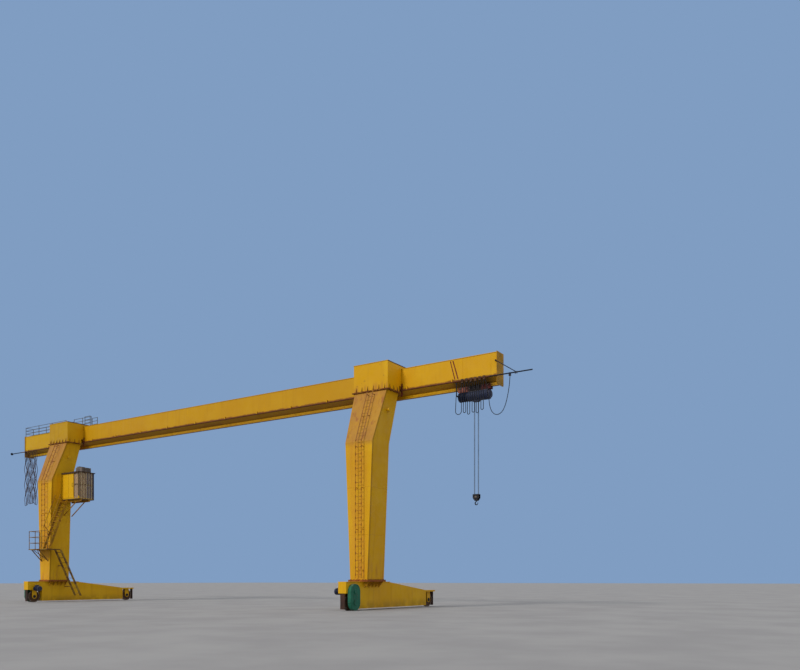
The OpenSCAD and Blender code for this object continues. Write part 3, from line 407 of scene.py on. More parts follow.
def zinc_plating():
    """Galvanised metal with dull blotches."""
    mat = Finish("zinc_bolts")
    clouds = mat.noise(18, detail=6)
    mat.colour = mat.grade(clouds, 0.35, 0.65, (146, 140, 130), (96, 76, 58))
    mat.bump(mat.noise(120, detail=3), 0.0008)
    return mat.done(mat.ramp(clouds, 0.3, 0.7, 0.45, 0.65), 0.8)


def rubber_sheath(name, clean, dusty):
    mat = Finish(name)
    dust = mat.noise(6, (1, 1, 0.5), 5)
    mat.colour = mat.grade(dust, 0.4, 0.7, clean, dusty)
    mat.bump(mat.noise(140, detail=2), 0.0006)
    return mat.done(mat.ramp(dust, 0.3, 0.7, 0.5, 0.8))


def wire_rope():
    mat = Finish("wire_rope_steel")
    grease = mat.noise(5, (1, 1, 0.6), 5)
    mat.colour = mat.grade(grease, 0.4, 0.65, (92, 88, 82), (42, 38, 34))
    return mat.done(mat.ramp(grease, 0.3, 0.7, 0.35, 0.6), 0.7)


def window_glass():
    """Window glass brown with dust, which lets half the view through, with painted shade on the panes
    further back.
    """
    mat = Finish("window_glass")
    mat.shader.inputs["Transmission Weight"].default_value = 0.55
    mat.shader.inputs["IOR"].default_value = 1.45
    dust = mat.ramp(mat.noise(3, (1, 1, 0.4), 5), 0.35, 0.75)
    mat.colour = mat.mix(dust, (200, 160, 118), (222, 182, 126))
    # Panes further back along Y, on the +X side, are darkened: painted shade.
    mat.coat((128, 112, 118), mat.ramp(mat.axis("Y"), CAB_LOW.y + 0.45, CAB_LOW.y + 0.6), 0.8)
    return mat.done(mat.ramp(dust, 0, 1, 0.05, 0.25), shine=0.5)


def chequer_plate():
    """Tread plate: crossed oval studs under trodden, rusty paint, kept dark also as painted shade."""
    mat = Finish("chequer_plate")
    # The dark paint is partly rust and partly painted shade of a floor seen from below.
    mat.colour = mat.grade(mat.noise(5, detail=6), 0.4, 0.6, (150, 116, 40), (96, 64, 36))
    studs = mat.node("TexVoronoi", {"Scale": 28, "Vector": mat.stretched((1, 0.6, 1))})
    mat.bump(mat.ramp(studs["Distance"], 0.1, 0.35, 1, 0), 0.003, 0.8)
    return mat.done(0.7)


def shaded_yellow(name, tone, specks=0.5):
    """Yellow paint darkened towards brown, with rust at every joint; on the girder's end plates the darker
    tone is painted shade.
    """
    mat = Finish(name)
    mat.colour = mat.grade(mat.noise(2.5, detail=5), 0.3, 0.7, tone, DULL_YELLOW)
    rust = mat.noise(9, detail=6, roughness=0.7)
    mat.coat(RUST, mat.ramp(rust, specks, specks + 0.12, 0, 0.9))
    return mat.done(0.6)


def ladder_paint():
    """Ladder paint: brown over the sloping part, with painted shade where each rung meets a stile."""
    mat = Finish("ladder_paint")
    worn = mat.noise(6, detail=6, roughness=0.7)
    height = mat.axis("Z")
    slope = mat.ramp(height, BEND_Z - 0.1, BEND_Z + 0.1)
    stile = mat.grade(worn, 0.35, 0.65, (206, 150, 26), (178, 118, 32))
    stile = mat.mix(slope, stile, (164, 112, 56))
    rung = mat.grade(worn, 0.35, 0.65, (184, 122, 34), (152, 94, 34))
    rung = mat.mix(slope, rung, (168, 116, 54))
    gaps = []
    heights = []
    for centre, node in zip(LEG_X, ("ladder_near", "ladder_far")):
        gap = mat.away("X", centre + LADDER_X)
        rise = mat.minus(height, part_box(node)[0][2] + FIRST_RUNG)
        from_rung = mat.math("PINGPONG", rise, RUNG_PITCH / 2)
        gaps.append(gap)
        heights.append(mat.times(from_rung, mat.math("LESS_THAN", gap, 1.0)))
    away = mat.math("MINIMUM", *gaps)
    joint = mat.ramp(mat.math("ADD", *heights), 0.04, 0.075, 1, 0)
    mat.colour = mat.grade(away, 0.128, 0.132, rung, stile)
    strength = mat.ramp(slope, 0, 1, 0.65, 0.2)
    # Dark brown at each rung's ends: painted shade where the rung meets a stile.
    mat.coat((104, 52, 22), joint, mat.ramp(away, 0.09, 0.13), strength)
    return mat.done(0.7)


def flange_rust():
    """Base flanges: rusty plate over yellow ribs, dark brown on the faces that do not look to the front or
    back.
    """
    mat = Finish("flange_rust")
    grain = mat.noise(22, detail=8, roughness=0.72)
    plate = mat.grade(grain, 0.3, 0.7, (104, 48, 22), (168, 98, 40))
    faces = mat.math("ABSOLUTE", mat.facing("Y"))
    rib = mat.grade(faces, 0.6, 0.9, (92, 50, 20), (186, 134, 24))
    low = mat.ramp(mat.axis("Z"), BEAM_TOP - 0.002, BEAM_TOP - 0.001, 1, 0)
    mat.colour = mat.mix(low, plate, rib)
    mat.bump(grain, 0.004, 0.6)
    return mat.done(0.8)


def pipe_paint():
    """Slate paint along the girder, rust on the arm beyond its end."""
    mat = Finish("pipe_paint")
    grain = mat.noise(12, (0.3, 1, 1), 6)
    rusty = mat.grade(grain, 0.35, 0.65, (104, 50, 22), (70, 36, 20))
    along = mat.band("X", GIRDER_LOW.x - 0.1, GIRDER_HIGH.x - 0.4, 0.2)
    mat.colour = mat.mix(along, (20, 24, 38), rusty)
    return mat.done(0.6)


def cab_paint():
    """Cab paint: sunlit panels, dark window frames, roof edge and floor, and a dark rear post."""
    mat = yellow_base("cab_paint")
    weather_and_underside_shade(mat)
    mat.coat((186, 158, 28), mat.ramp(mat.noise(1.4, (1, 1, 0.6)), 0.4, 0.65, 0, 0.6))
    height = mat.axis("Z")
    right = mat.ramp(mat.axis("X"), CAB_LOW.x + 1.08, CAB_LOW.x + 1.10)
    mat.coat((74, 62, 62), right, mat.ramp(height, CAB_LOW.z + 0.16, CAB_LOW.z + 0.2), 0.85)
    mat.coat((70, 48, 24), mat.ramp(height, CAB_HIGH.z - 0.06, CAB_HIGH.z - 0.05), 0.85)
    mat.coat((52, 38, 46), mat.ramp(height, CAB_LOW.z + 0.045, CAB_LOW.z + 0.05, 1, 0), 0.9)
    mat.coat((40, 42, 62), mat.ramp(mat.axis("Y"), CAB_HIGH.y - 0.13, CAB_HIGH.y - 0.12), 0.85)
    return mat.done(0.55)


def carriage_paint():
    """Carriage: pinkish primer at the left, near-black in the middle as painted shade, dark red at the
    right.
    """
    mat = Finish("carriage_paint")
    low, high = corners("hoist_carriage")
    third = (high.x - low.x) / 3
    x = mat.axis("X")
    worn = mat.noise(9, detail=6)
    left = mat.grade(worn, 0.35, 0.65, (146, 86, 72), (104, 56, 44))
    # The near-black middle is painted shade under the girder and hoist.
    mat.colour = mat.grade(x, low.x + 0.8 * third, low.x + 1.1 * third, left, (30, 20, 22))
    right = mat.grade(worn, 0.35, 0.65, (92, 34, 30), (56, 26, 26))
    mat.coat(right, mat.ramp(x, high.x - third, high.x - 0.7 * third))
    return mat.done(0.65)


YELLOW = painted_plate(yellow_base("yellow_paint"), 0.42, 0.68)
BROWN_YELLOW = shaded_yellow("brown_yellow", (138, 100, 14))
# Darker olive yellow for the girder's end plates: painted shade.
SHADED_END_PAINT = shaded_yellow("shaded_end_paint", (150, 110, 8), 0.68)
RUSTY = rusty_plate()
DIRTY_RAIL = enamel("dirty_rail", (84, 92, 108), (112, 110, 108), (84, 68, 54), 0.6, 0.8)
GREEN = enamel("green_enamel", (26, 92, 70), (46, 112, 88), gloss=0.38)
SLATE = enamel("slate_enamel", (38, 48, 76), (56, 60, 80), (26, 28, 40), 0.4, 0.3)
BLACK = enamel("black_enamel", (20, 22, 30), (38, 36, 42), (30, 24, 22), 0.45, 0.5)
UNIT_GREY = enamel("unit_grey", (92, 84, 82), (130, 118, 110), gloss=0.6, rust=0.9)
DARK_PLATE = enamel("dark_plate", (50, 38, 34), (78, 54, 44), gloss=0.7, rust=0.8)
CARRIER_RUST = enamel("carrier_rust", (98, 60, 30), (58, 40, 30), gloss=0.7, rust=0.9)
OXIDE = enamel("oxide_primer", (92, 38, 24), (116, 54, 32), gloss=0.6, rust=0.8)
GREY = enamel("grey_enamel", (150, 152, 148), (130, 132, 128), gloss=0.4, rust=0.5)
PALE_BARS = enamel("pale_bars", (232, 212, 160), (206, 184, 136), (110, 96, 84), 0.5, 0.8)
ZINC = zinc_plating()
RUBBER = rubber_sheath("rubber_sheath", (24, 24, 28), (54, 54, 58))
DUSTY_RUBBER = rubber_sheath("dusty_sheath", (58, 40, 36), (92, 66, 54))
ROPE_STEEL = wire_rope()

PAINTED = (
    (girder_paint(), ("girder_box", "girder_rail_beam")),
    (leg_paint(), ("leg_near", "leg_far")),
    (saddle_paint(), ("saddle_near", "saddle_far")),
    (YELLOW, ("ground_beam_near", "ground_beam_far", "festoon_brackets", "lifting_trunnions")),
    (BROWN_YELLOW, ("cab_support", "stair_upper_flight")),
    (SHADED_END_PAINT, ("girder_end_plates",)),
    (RUSTY, ("leg_top_flanges",)),
    (flange_rust(), ("leg_base_flanges",)),
    (ladder_paint(), ("ladder_near", "ladder_far")),
    (cab_paint(), ("cab_frame",)),
    (window_glass(), ("cab_glass",)),
    (PALE_BARS, ("cab_window_bars",)),
    (UNIT_GREY, ("cab_roof_unit",)),
    (DIRTY_RAIL, ("girder_guard_rail",)),
    (chequer_plate(), ("stair_landing", "stair_lower_flight")),
    (GREEN, ("gear_covers",)),
    (DARK_PLATE, ("rail_guards",)),
    (SLATE, ("drive_motors", "hoist_drum_casing", "hoist_motor", "hoist_gearbox")),
    (carriage_paint(), ("hoist_carriage",)),
    (GREY, ("hoist_control_box",)),
    (BLACK, ("hook_block", "hook", "tow_arm")),
    (pipe_paint(), ("festoon_pipe",)),
    (CARRIER_RUST, CARRIERS),
    (wheel_steel("wheel_steel_front", -AXLE_Y), ("wheel_near_front", "wheel_far_front")),
    (wheel_steel("wheel_steel_rear", AXLE_Y), ("wheel_near_rear", "wheel_far_rear")),
)


def paint_nodes():
    """Gives each node of the model its finish."""
    for material, names in PAINTED:
        for name in names:
            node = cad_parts[name]
            for slot in node.material_slots:
                slot.material = material
            if not node.material_slots:
                node.data.materials.append(material)


paint_nodes()


# Small modelling steps, as done by hand in object and edit mode

def select(*pieces):
    """Selects just these pieces, with the first one active."""
    bpy.ops.object.select_all(action="DESELECT")
    for piece in pieces:
        piece.select_set(True)
    bpy.context.view_layer.objects.active = pieces[0]


def applied():
    """The object just added, with its place, turn and scale taken up by its mesh."""
    bpy.ops.object.transform_apply(location=True, rotation=True, scale=True)
    return bpy.context.object


def new_box(low, high):
    """A block between two corners, as a start for further shaping."""
    bpy.ops.object.select_all(action="DESELECT")
    low, high = Vector(low), Vector(high)
    bpy.ops.mesh.primitive_cube_add(size=1, location=(low + high) / 2)
    bpy.context.object.scale = high - low
    return applied()


def new_round(start, end, radius, sides):
    """A round bar from start to end, as a start for further shaping."""
    bpy.ops.object.select_all(action="DESELECT")
    start, end = Vector(start), Vector(end)
    run = end - start
    bpy.ops.mesh.primitive_cylinder_add(
        vertices=sides, radius=radius, depth=run.length, location=(start + end) / 2,
        rotation=run.to_track_quat("Z", "Y").to_euler(),
    )
    return applied()


def pick_faces(piece, test):
    """In edit mode: selects just the faces whose centre and normal pass a test."""
    bpy.ops.mesh.select_all(action="DESELECT")
    mesh = bmesh.from_edit_mesh(piece.data)
    mesh.normal_update()
    for face in mesh.faces:
        face.select_set(test(face.calc_center_median(), face.normal))
    mesh.select_flush_mode()
    bmesh.update_edit_mesh(piece.data)


def edit(piece, direction):
    """Opens a piece for editing, with just the faces that look along a direction selected."""
    direction = Vector(direction).normalized()
    select(piece)
    bpy.ops.object.mode_set(mode="EDIT")
    bpy.ops.mesh.select_mode(type="FACE")
    pick_faces(piece, lambda centre, normal: normal.dot(direction) > 0.9)


def leave_edit():
    bpy.ops.object.mode_set(mode="OBJECT")


def inset_and_push(piece, direction, inset, depth):
    """Insets the faces that look along a direction and pushes them in (or out, below zero)."""
    edit(piece, direction)
    bpy.ops.mesh.inset(thickness=inset)
    bpy.ops.transform.translate(value=Vector(direction).normalized() * -depth)
    leave_edit()
    return piece


def bevelled(piece, width, segments=2):
    """Rounds the piece's sharp edges."""
    modifier = piece.modifiers.new("bevel", "BEVEL")
    modifier.width = width
    modifier.segments = segments
    modifier.limit_method = "ANGLE"
    modifier.angle_limit = math.radians(30)
    bpy.context.view_layer.objects.active = piece
    bpy.ops.object.modifier_apply(modifier="bevel")
    return piece


def block(low, high, width, segments=2):
    return bevelled(new_box(low, high), width, segments)


def bar(start, end, radius, sides, width, segments=1):
    return bevelled(new_round(start, end, radius, sides), width, segments)


def panel(low, high, direction, inset, depth):
    """A plate whose middle is pushed in."""
    return bevelled(inset_and_push(new_box(low, high), direction, inset, depth), 0.003)


def smooth(piece, angle=35):
    select(piece)
    bpy.ops.object.shade_smooth_by_angle(angle=math.radians(angle))
    return piece


def join(pieces, name):
    select(*pieces)
    if len(pieces) > 1:
        bpy.ops.object.join()
    pieces[0].name = name
    return pieces[0]


def repeated(piece, places, name):
    """Copies a piece to each place, a matrix or a shift, and joins the copies."""
    copies = []
    for place in places:
        copy = piece.copy()
        copy.data = piece.data.copy()
        copy.data.transform(place if isinstance(place, Matrix) else Matrix.Translation(place))
        bpy.context.scene.collection.objects.link(copy)
        copies.append(copy)
    bpy.data.objects.remove(piece)
    return join(copies, name)


def standing(point, direction=Z):
    """The place of a piece made upright on the origin, moved to a point and turned."""
    return Matrix.Translation(point) @ Vector(direction).to_track_quat("Z", "Y").to_matrix().to_4x4()


def dress(piece, material, body="gantry"):
    piece.data.materials.clear()
    piece.data.materials.append(material)
    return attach(piece, body)


def hex_bolt(radius, height, tail=0.0):
    """A bolt head with worn corners on its washer, and a stub of thread above a nut."""
    head = new_round((0, 0, 0.2 * height), (0, 0, height), radius, 6)
    inset_and_push(head, Z, 0.12 * radius, -0.12 * radius)
    parts = [head, bar((0, 0, 0), (0, 0, 0.25 * height), 1.35 * radius, 12, 0.0015)]
    if tail:
        parts.append(bar((0, 0, height), (0, 0, height + tail), 0.5 * radius, 8, 0.15 * radius))
    return join(parts, "bolt")


def bolts(name, places, radius, height, material, body="gantry"):
    """Equal bolts at all the places, as one piece."""
    return dress(repeated(hex_bolt(radius, height), places, name), material, body)


def spread(low, high, count):
    """Evenly spread values, half a step in from each end."""
    return [low + (high - low) * (i + 0.5) / count for i in range(count)]


def turns(count, whole=1.0):
    """Angles at even steps through a share of a full turn, both ends included."""
    return [2 * math.pi * whole * k / count for k in range(count + 1)]


# Cords

# Route of the large loop of the festoon, from the last carrier: metres along X and up
LARGE_LOOP = (
    (0.060, 0), (0.060, -0.040), (0.070, -0.110), (0.095, -0.230), (0.128, -0.360), (0.160, -0.500),
    (0.186, -0.650), (0.204, -0.800), (0.222, -0.950), (0.248, -1.090), (0.292, -1.220), (0.357, -1.330),
    (0.442, -1.410), (0.540, -1.445), (0.640, -1.440), (0.735, -1.395), (0.815, -1.315), (0.880, -1.205),
    (0.935, -1.075), (0.980, -0.930), (1.020, -0.770), (1.055, -0.600), (1.085, -0.420), (1.108, -0.220),
    (1.120, -0.040), (1.120, 0),
)
LOOP_DEPTHS = (1.16, 1.27, 1.22, 1.28, 1.19, 1.24)
SEAT = 0.0003


def arc(centre, radius, start, end, steps, y):
    """Points round an arc in an upright plane; angles in degrees from +X towards +Z."""
    angles = [math.radians(start + (end - start) * i / steps) for i in range(steps + 1)]
    return [
        Vector((centre[0] + radius * math.cos(a), y, centre[1] + radius * math.sin(a))) for a in angles
    ]


def hanging_loop(right, left, top, depth, y_top, y_low):
    """Points of a loop from its right top to its left top, wider and swung forward low down."""
    middle = (left + right) / 2
    half_top = (right - left) / 2
    bulge = min(0.03, 0.25 * half_top)
    radius = half_top + bulge
    low = top - depth + radius
    steps = 6
    down = []
    for i in range(1, steps):
        t = i / steps
        ease = t * t * (3 - 2 * t)
        down.append((half_top + bulge * ease, top + (low - top) * t, y_top + (y_low - y_top) * ease))
    points = [Vector((middle + w, y, z)) for w, z, y in down]
    points += arc((middle, low), radius, 0, -180, 12, y_low)
    points += [Vector((middle - w, y, z)) for w, z, y in reversed(down)]
    return points


def festoon_route():
    """From the clamp on the arm, round the large loop and over each carrier to the tow arm."""
    top = CARRIER_FOOT - SEAT
    crown = top - CABLE_R - CABLE_BEND
    points = [Vector((CARRIER_X[-1] + x, PIPE_Y, top + z)) for x, z in LARGE_LOOP[:0:-1]]
    carriers = CARRIER_X[::-1]
    lefts = [x + CABLE_BEND for x in carriers[1:]] + [TOW_END]
    for i, (carrier, left) in enumerate(zip(carriers, lefts)):
        points += arc((carrier, crown), CABLE_BEND, 0, 180, 8, PIPE_Y)
        forward = -0.030 if i % 2 else -0.004
        depth = LOOP_DEPTHS[i] - CABLE_BEND
        points += hanging_loop(carrier - CABLE_BEND, left, crown, depth, PIPE_Y, PIPE_Y + forward)
    points.append(Vector((TOW_END, PIPE_Y, top)))
    return points


def stowed_route():
    """The cable stowed at the far end: wavy falls, out along a front layer and back along a rear one."""
    low, high = corners("stowed_cable")
    falls = 16
    sway = 0.062
    layer = 0.0165
    spare_end = 0.004
    waviness = 6.4
    fall_steps = 36
    bow_steps = 10
    edge = CABLE_R + sway + 0.012
    pitch = (high.x - low.x - 2 * edge) / (falls - 1)
    middle = (low.y + high.y) / 2
    order = list(range(0, falls, 2)) + list(range(falls - 1, 0, -2))
    points = []
    for i, place in enumerate(order):
        rear = place % 2
        x = low.x + edge + place * pitch
        y = middle + (layer if rear else -layer)
        bottom = low.z + CABLE_R + spare_end + pitch + 0.05 * (i // 2 * 3 % 4)
        top = high.z - CABLE_R - spare_end - pitch - 0.025 * ((i + 1) // 2 % 3)
        if place >= falls - 2:
            x += (CABLE_BEND - pitch / 2) * (1 if rear else -1)
        fall = []
        for k in range(fall_steps + 1):
            z = top + (bottom - top) * k / fall_steps
            ease = min(1, 6 * min(k, fall_steps - k) / fall_steps)
            wave = math.sin((waviness if rear else -waviness) * (z - bottom) + 0.9 * place)
            fall.append(Vector((x + sway * ease * wave, y, z)))
        if i in (0, falls - 1):
            fall.insert(0, Vector((x, middle, high.z - SEAT)))
        if i % 2:
            fall.reverse()
        points += fall
        if i + 1 < falls:
            following = order[i + 1]
            ahead = following > place
            bend = CABLE_BEND if abs(following - place) == 1 else pitch
            y_next = middle + (layer if following % 2 else -layer)
            if i % 2:
                ends = (180, 0) if ahead else (0, 180)
            else:
                ends = (180, 360) if ahead else (0, -180)
            bow = arc((x + (bend if ahead else -bend), fall[-1].z), bend, *ends, bow_steps, y)
            for k, point in enumerate(bow):
                point.y = y + (y_next - y) * k / bow_steps
            points += bow[1:-1]
    return points


def evenly(points, step):
    """Points at about even steps along a smooth curve through the given ones."""
    curve = []
    for i in range(len(points) - 1):
        before = points[max(i - 1, 0)]
        after = points[min(i + 2, len(points) - 1)]
        start, end = points[i], points[i + 1]
        count = max(2, round((end - start).length / 0.02))
        for k in range(count):
            t = k / count
            curve.append(0.5 * (
                2 * start + (end - before) * t + (2 * before - 5 * start + 4 * end - after) * t ** 2
                + (3 * start - before - 3 * end + after) * t ** 3
            ))
    curve.append(points[-1])
    total = length_of(curve)
    count = round(total / step)
    spaced = [curve[0]]
    gone = 0.0
    target = total / count
    for a, b in zip(curve, curve[1:]):
        length = (b - a).length
        while gone + length >= target * len(spaced) and len(spaced) < count:
            spaced.append(a.lerp(b, (target * len(spaced) - gone) / length))
        gone += length
    spaced.append(curve[-1])
    return spaced


def length_of(points):
    return sum((b - a).length for a, b in zip(points, points[1:]))


def tube(name, points, radius, sides=10, profile=None):
    """A closed tube along the points; profile(k, ring) may change the radius round a ring."""
    mesh = bmesh.new()
    rings = []
    side = Y.copy()
    for i, point in enumerate(points):
        run = (points[min(i + 1, len(points) - 1)] - points[max(i - 1, 0)]).normalized()
        side = (side - run * side.dot(run)).normalized()
        up = run.cross(side)
        ring = []
        for k in range(sides):
            angle = 2 * math.pi * k / sides
            r = radius * (profile(k, i) if profile else 1)
            ring.append(mesh.verts.new(point + r * (math.cos(angle) * side + math.sin(angle) * up)))
        rings.append(ring)
    for a, b in zip(rings, rings[1:]):
        for k in range(sides):
            mesh.faces.new((a[k], b[k], b[(k + 1) % sides], a[(k + 1) % sides]))
    mesh.faces.new(rings[0])
    mesh.faces.new(list(reversed(rings[-1])))
    bmesh.ops.recalc_face_normals(mesh, faces=mesh.faces)
    data = bpy.data.meshes.new(name)
    mesh.to_mesh(data)
    mesh.free()
    piece = bpy.data.objects.new(name, data)
    bpy.context.scene.collection.objects.link(piece)
    return smooth(piece, 60)


def wire_rings(centre, across, radii, wire, count):
    """Upright rings of wire round one centre, in the plane of Z and another axis."""
    rings = []
    for radius in radii:
        line = [Vector(centre) + radius * (math.cos(a) * across + math.sin(a) * Z) for a in turns(count)]
        rings.append(tube("wire_ring", line, wire, 6))
    return rings


def sheathed(name, route, sheath):
    cable = tube(name, route, CABLE_R)
    cable.data.materials.append(sheath)
    return cable


def festoon_cable():
    route = evenly(festoon_route(), 0.022)
    cable = sheathed("festoon_cord", route, RUBBER)
    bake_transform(cable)
    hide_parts("festoon_cable", "festoon_bundle")


def cable_ties(route):
    """A clip for the stowed cable's two ends and ties for its top bends, all round the pipe."""
    across = PIPE_R + 0.009
    first, last = sorted((route[0].x, route[-1].x))
    ties = [block(
        (first - 0.03, PIPE_Y - 0.03, PIPE_Z - 0.066), (last + 0.03, PIPE_Y + 0.03, PIPE_Z - 0.02), 0.004,
    )]
    for x in (first - 0.012, (first + last) / 2, last + 0.012):
        ties.append(bar((x - 0.01, PIPE_Y, PIPE_Z), (x + 0.01, PIPE_Y, PIPE_Z), 0.031, 28, 0.002))
    for before, point, after in zip(route, route[1:], route[2:]):
        if point.z < PIPE_Z - 0.2 or not before.z < point.z >= after.z:
            continue
        low = point.z - CABLE_R - 0.004 + across
        ring = []
        for k, angle in enumerate(turns(32)):
            centre = PIPE_Z if k < 16 else low
            ring.append(
                Vector((point.x, PIPE_Y + across * math.cos(angle), centre + across * math.sin(angle)))
            )
        ring[16] = Vector((point.x, PIPE_Y - across, PIPE_Z))
        ring[32] = ring[0].copy()
        ties.append(tube("cable_tie", evenly(ring, 0.012), 0.004, 6))
    dress(join(ties, "cable_ties"), BLACK)


def stowed_cable():
    route = evenly(stowed_route(), 0.025)
    cable_ties(route)
    cable = sheathed("stowed_cord", route, DUSTY_RUBBER)
    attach(cable, "gantry")
    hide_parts("stowed_cable")


def hoist_ropes():
    """Four falls of wire rope, each of six strands laid round each other."""
    low, high = corners("hoist_ropes")
    radius = 0.0075
    lay = 0.11
    step = 0.011
    count = round((high.z - low.z) / step)
    sides = 12

    def strands(k, ring):
        angle = 2 * math.pi * k / sides + 2 * math.pi * ring * step / lay
        return 0.86 + 0.14 * abs(math.cos(3 * angle))

    falls = []
    for x in (low.x + radius, high.x - radius):
        for y in (low.y + radius, high.y - radius):
            line = [Vector((x, y, high.z + (low.z - high.z) * i / count)) for i in range(count + 1)]
            falls.append(tube("rope_fall", line, radius, sides, strands))
    ropes = join(falls, "wire_ropes")
    ropes.data.materials.append(ROPE_STEEL)
    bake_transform(ropes)
    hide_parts("hoist_ropes")


# Structure details

def flange_bolts():
    """Bolts round the bolted flanges at the head and the foot of each leg."""
    edge = 0.032
    overhang = 0.06
    deep = 1.15
    thick = 0.04
    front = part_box("leg_top_flanges")[0][1] + edge
    foot_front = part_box("leg_base_flanges")[0][1] + edge
    foot_back = LEG_FRONT + deep + overhang - edge
    places = []
    for low, high in SADDLES:
        centre = (low.x + high.x) / 2
        half = (high.x - low.x) / 2 - 0.015
        spots = [(x, front) for x in spread(centre - half, centre + half, 12)]
        for y in spread(HEAD_FRONT, WEB_Y - 0.165, 6):
            spots += [(centre + side * (half + overhang - edge), y) for side in BOTH]
        for x, y in spots:
            places += [standing((x, y, low.z)), standing((x, y, low.z - thick), -Z)]
    for centre in LEG_X:
        spots = []
        for y in spread(LEG_FRONT, LEG_FRONT + deep, 10):
            spots += [(centre + side * (0.5 - edge), y) for side in BOTH]
        for x in spread(centre - 0.46, centre + 0.46, 6):
            spots += [(x, foot_front), (x, foot_back)]
        places += [standing((x, y, FOOT_Z)) for x, y in spots]
    bolts("flange_bolts", places, 0.019, 0.016, RUSTY)


def saddle_side_flanges():
    """Oxide-primed angles that stiffen the girder's web beside each saddle."""
    angles = []
    for low, high in SADDLES:
        for x, side in ((high.x - 0.015, 1), (low.x + 0.015, -1)):
            a, b = sorted((x + side * 0.004, x + side * 0.064))
            plate = new_box((a, GIRDER_LOW.y - 0.034, WEB_BOTTOM - 0.30),
                            (b, GIRDER_LOW.y - 0.022, WEB_BOTTOM + 0.24))
            edit(plate, (side, 0, 0))
            bpy.ops.mesh.extrude_region_move(TRANSFORM_OT_translate={"value": (side * 0.012, 0, 0)})
            edge = b if side > 0 else a
            pick_faces(plate, lambda centre, normal: normal.y > 0.9 and (centre.x - edge) * side > 0)
            bpy.ops.mesh.extrude_region_move(TRANSFORM_OT_translate={"value": (0, 0.020, 0)})
            leave_edit()
            angles.append(bevelled(plate, 0.003, 1))
    dress(join(angles, "saddle_side_angles"), OXIDE)


def weld_seams():
    """Butt welds across the girder's front and back webs, and the ring welds of the legs."""
    low_z = WEB_BOTTOM + 0.01
    pitch = 5.5
    foot_half = 0.44
    bend_half = 0.695
    back = LEG_FRONT + 1.157
    bead = new_round((0, 0, 0), (0, 0, GIRDER_TOP - 0.022 - low_z), 0.007, 6)
    places = []
    x = GIRDER_LOW.x + 4.1
    while x < GIRDER_HIGH.x - 1:
        if all(not low.x - 0.1 < x < high.x + 0.1 for low, high in SADDLES):
            places += [(x, WEB_Y + 0.002, low_z), (x, GIRDER_HIGH.y - FLANGE_LIP - 0.002, low_z)]
        x += pitch
    seams = [repeated(bead, places, "web_welds")]
    for centre in LEG_X:
        for z in (3.1, 5.05):
            half = foot_half + (bend_half - foot_half) * (z - FOOT_Z) / (BEND_Z - FOOT_Z)
            ends = ((-half, LEG_FRONT), (half, LEG_FRONT), (half, back), (-half, back), (-half, LEG_FRONT))
            for (x0, y0), (x1, y1) in zip(ends, ends[1:]):
                seams.append(new_round((centre + x0, y0, z), (centre + x1, y1, z), 0.006, 6))
    dress(join(seams, "weld_seams"), YELLOW)


def bearing_caps():
    """Caps over the axle ends, each with its bolts."""
    thick = 0.016
    bolt_circle = 0.068
    cheek_face = 0.1035
    cap = new_round((0, 0, 0), (0, 0, thick), 0.082, 28)
    inset_and_push(cap, Z, 0.018, -0.010)
    inset_and_push(cap, Z, 0.030, 0.006)
    bevelled(cap, 0.002, 1)
    angles = [math.radians(30 + 60 * k) for k in range(6)]
    ring = [standing((bolt_circle * math.cos(a), bolt_circle * math.sin(a), thick)) for a in angles]
    cap = join([cap, repeated(hex_bolt(0.009, 0.009), ring, "cap_bolts")], "cap")
    places = [
        standing((centre + side * cheek_face, y, AXLE_Z), (side, 0, 0))
        for centre in LEG_X for y in (-AXLE_Y, AXLE_Y) for side in BOTH
    ]
    dress(repeated(cap, places, "bearing_caps"), BLACK)


def gear_cover_details():
    """Split flange, bearing bosses, inspection lid and bolts of the two gear covers."""
    parts = []
    places = []
    y = -AXLE_Y
    split_low, split_high = 0.318, 0.342
    rim_radius = 0.285
    for centre, side in zip(LEG_X, (1, -1)):
        out = (side, 0, 0)
        outer = centre + side * COVER_OUT
        a, b = sorted((centre + side * 0.215, outer - side * 0.02))
        parts.append(block((a, y - 0.335, split_low), (b, y + 0.335, split_high), 0.004))
        for z, radius in ((AXLE_Z, 0.115), (AXLE_Z + MOTOR_RISE, 0.095)):
            boss = new_round((outer, y, z), (outer + side * 0.022, y, z), radius, 32)
            inset_and_push(boss, out, 0.02, -0.012)
            inset_and_push(boss, out, 0.03, 0.008)
            parts.append(bevelled(boss, 0.003))
        a, b = sorted((outer, outer + side * 0.012))
        parts.append(panel((a, y - 0.13, 0.49), (b, y + 0.13, 0.62), out, 0.012, 0.003))
        rim = []
        for angle in turns(40)[:-1]:
            lift = AXLE_Z + (MOTOR_RISE if math.sin(angle) > 0 else 0)
            across, up = rim_radius * math.cos(angle), rim_radius * math.sin(angle)
            rim.append(Vector((outer, y + across, lift + up)))
        rim.append(rim[0].copy())
        parts.append(tube("rim_bead", evenly(rim, 0.03), 0.010, 8))
        for spot in (y - 0.31, y + 0.31):
            places += [standing((centre + side * x, spot, split_high)) for x in (0.245, 0.3)]
        for spot in (y - 0.115, y + 0.115):
            places += [standing((outer + side * 0.010, spot, z), out) for z in (0.505, 0.605)]
    dress(join(parts, "gear_cover_details"), GREEN)
    bolts("gear_cover_bolts", places, 0.011, 0.011, ZINC)


def cooling_fins(name, start, end, outer, count):
    """Thin rings along a motor, each pulled from one disc."""
    run = Vector(end) - Vector(start)
    thick = run.length / count * 0.32
    fin = bar((0, 0, -thick / 2), (0, 0, thick / 2), outer, 40, 0.001)
    return smooth(repeated(fin, [standing(Vector(start) + run * t, run) for t in spread(0, 1, count)], name))


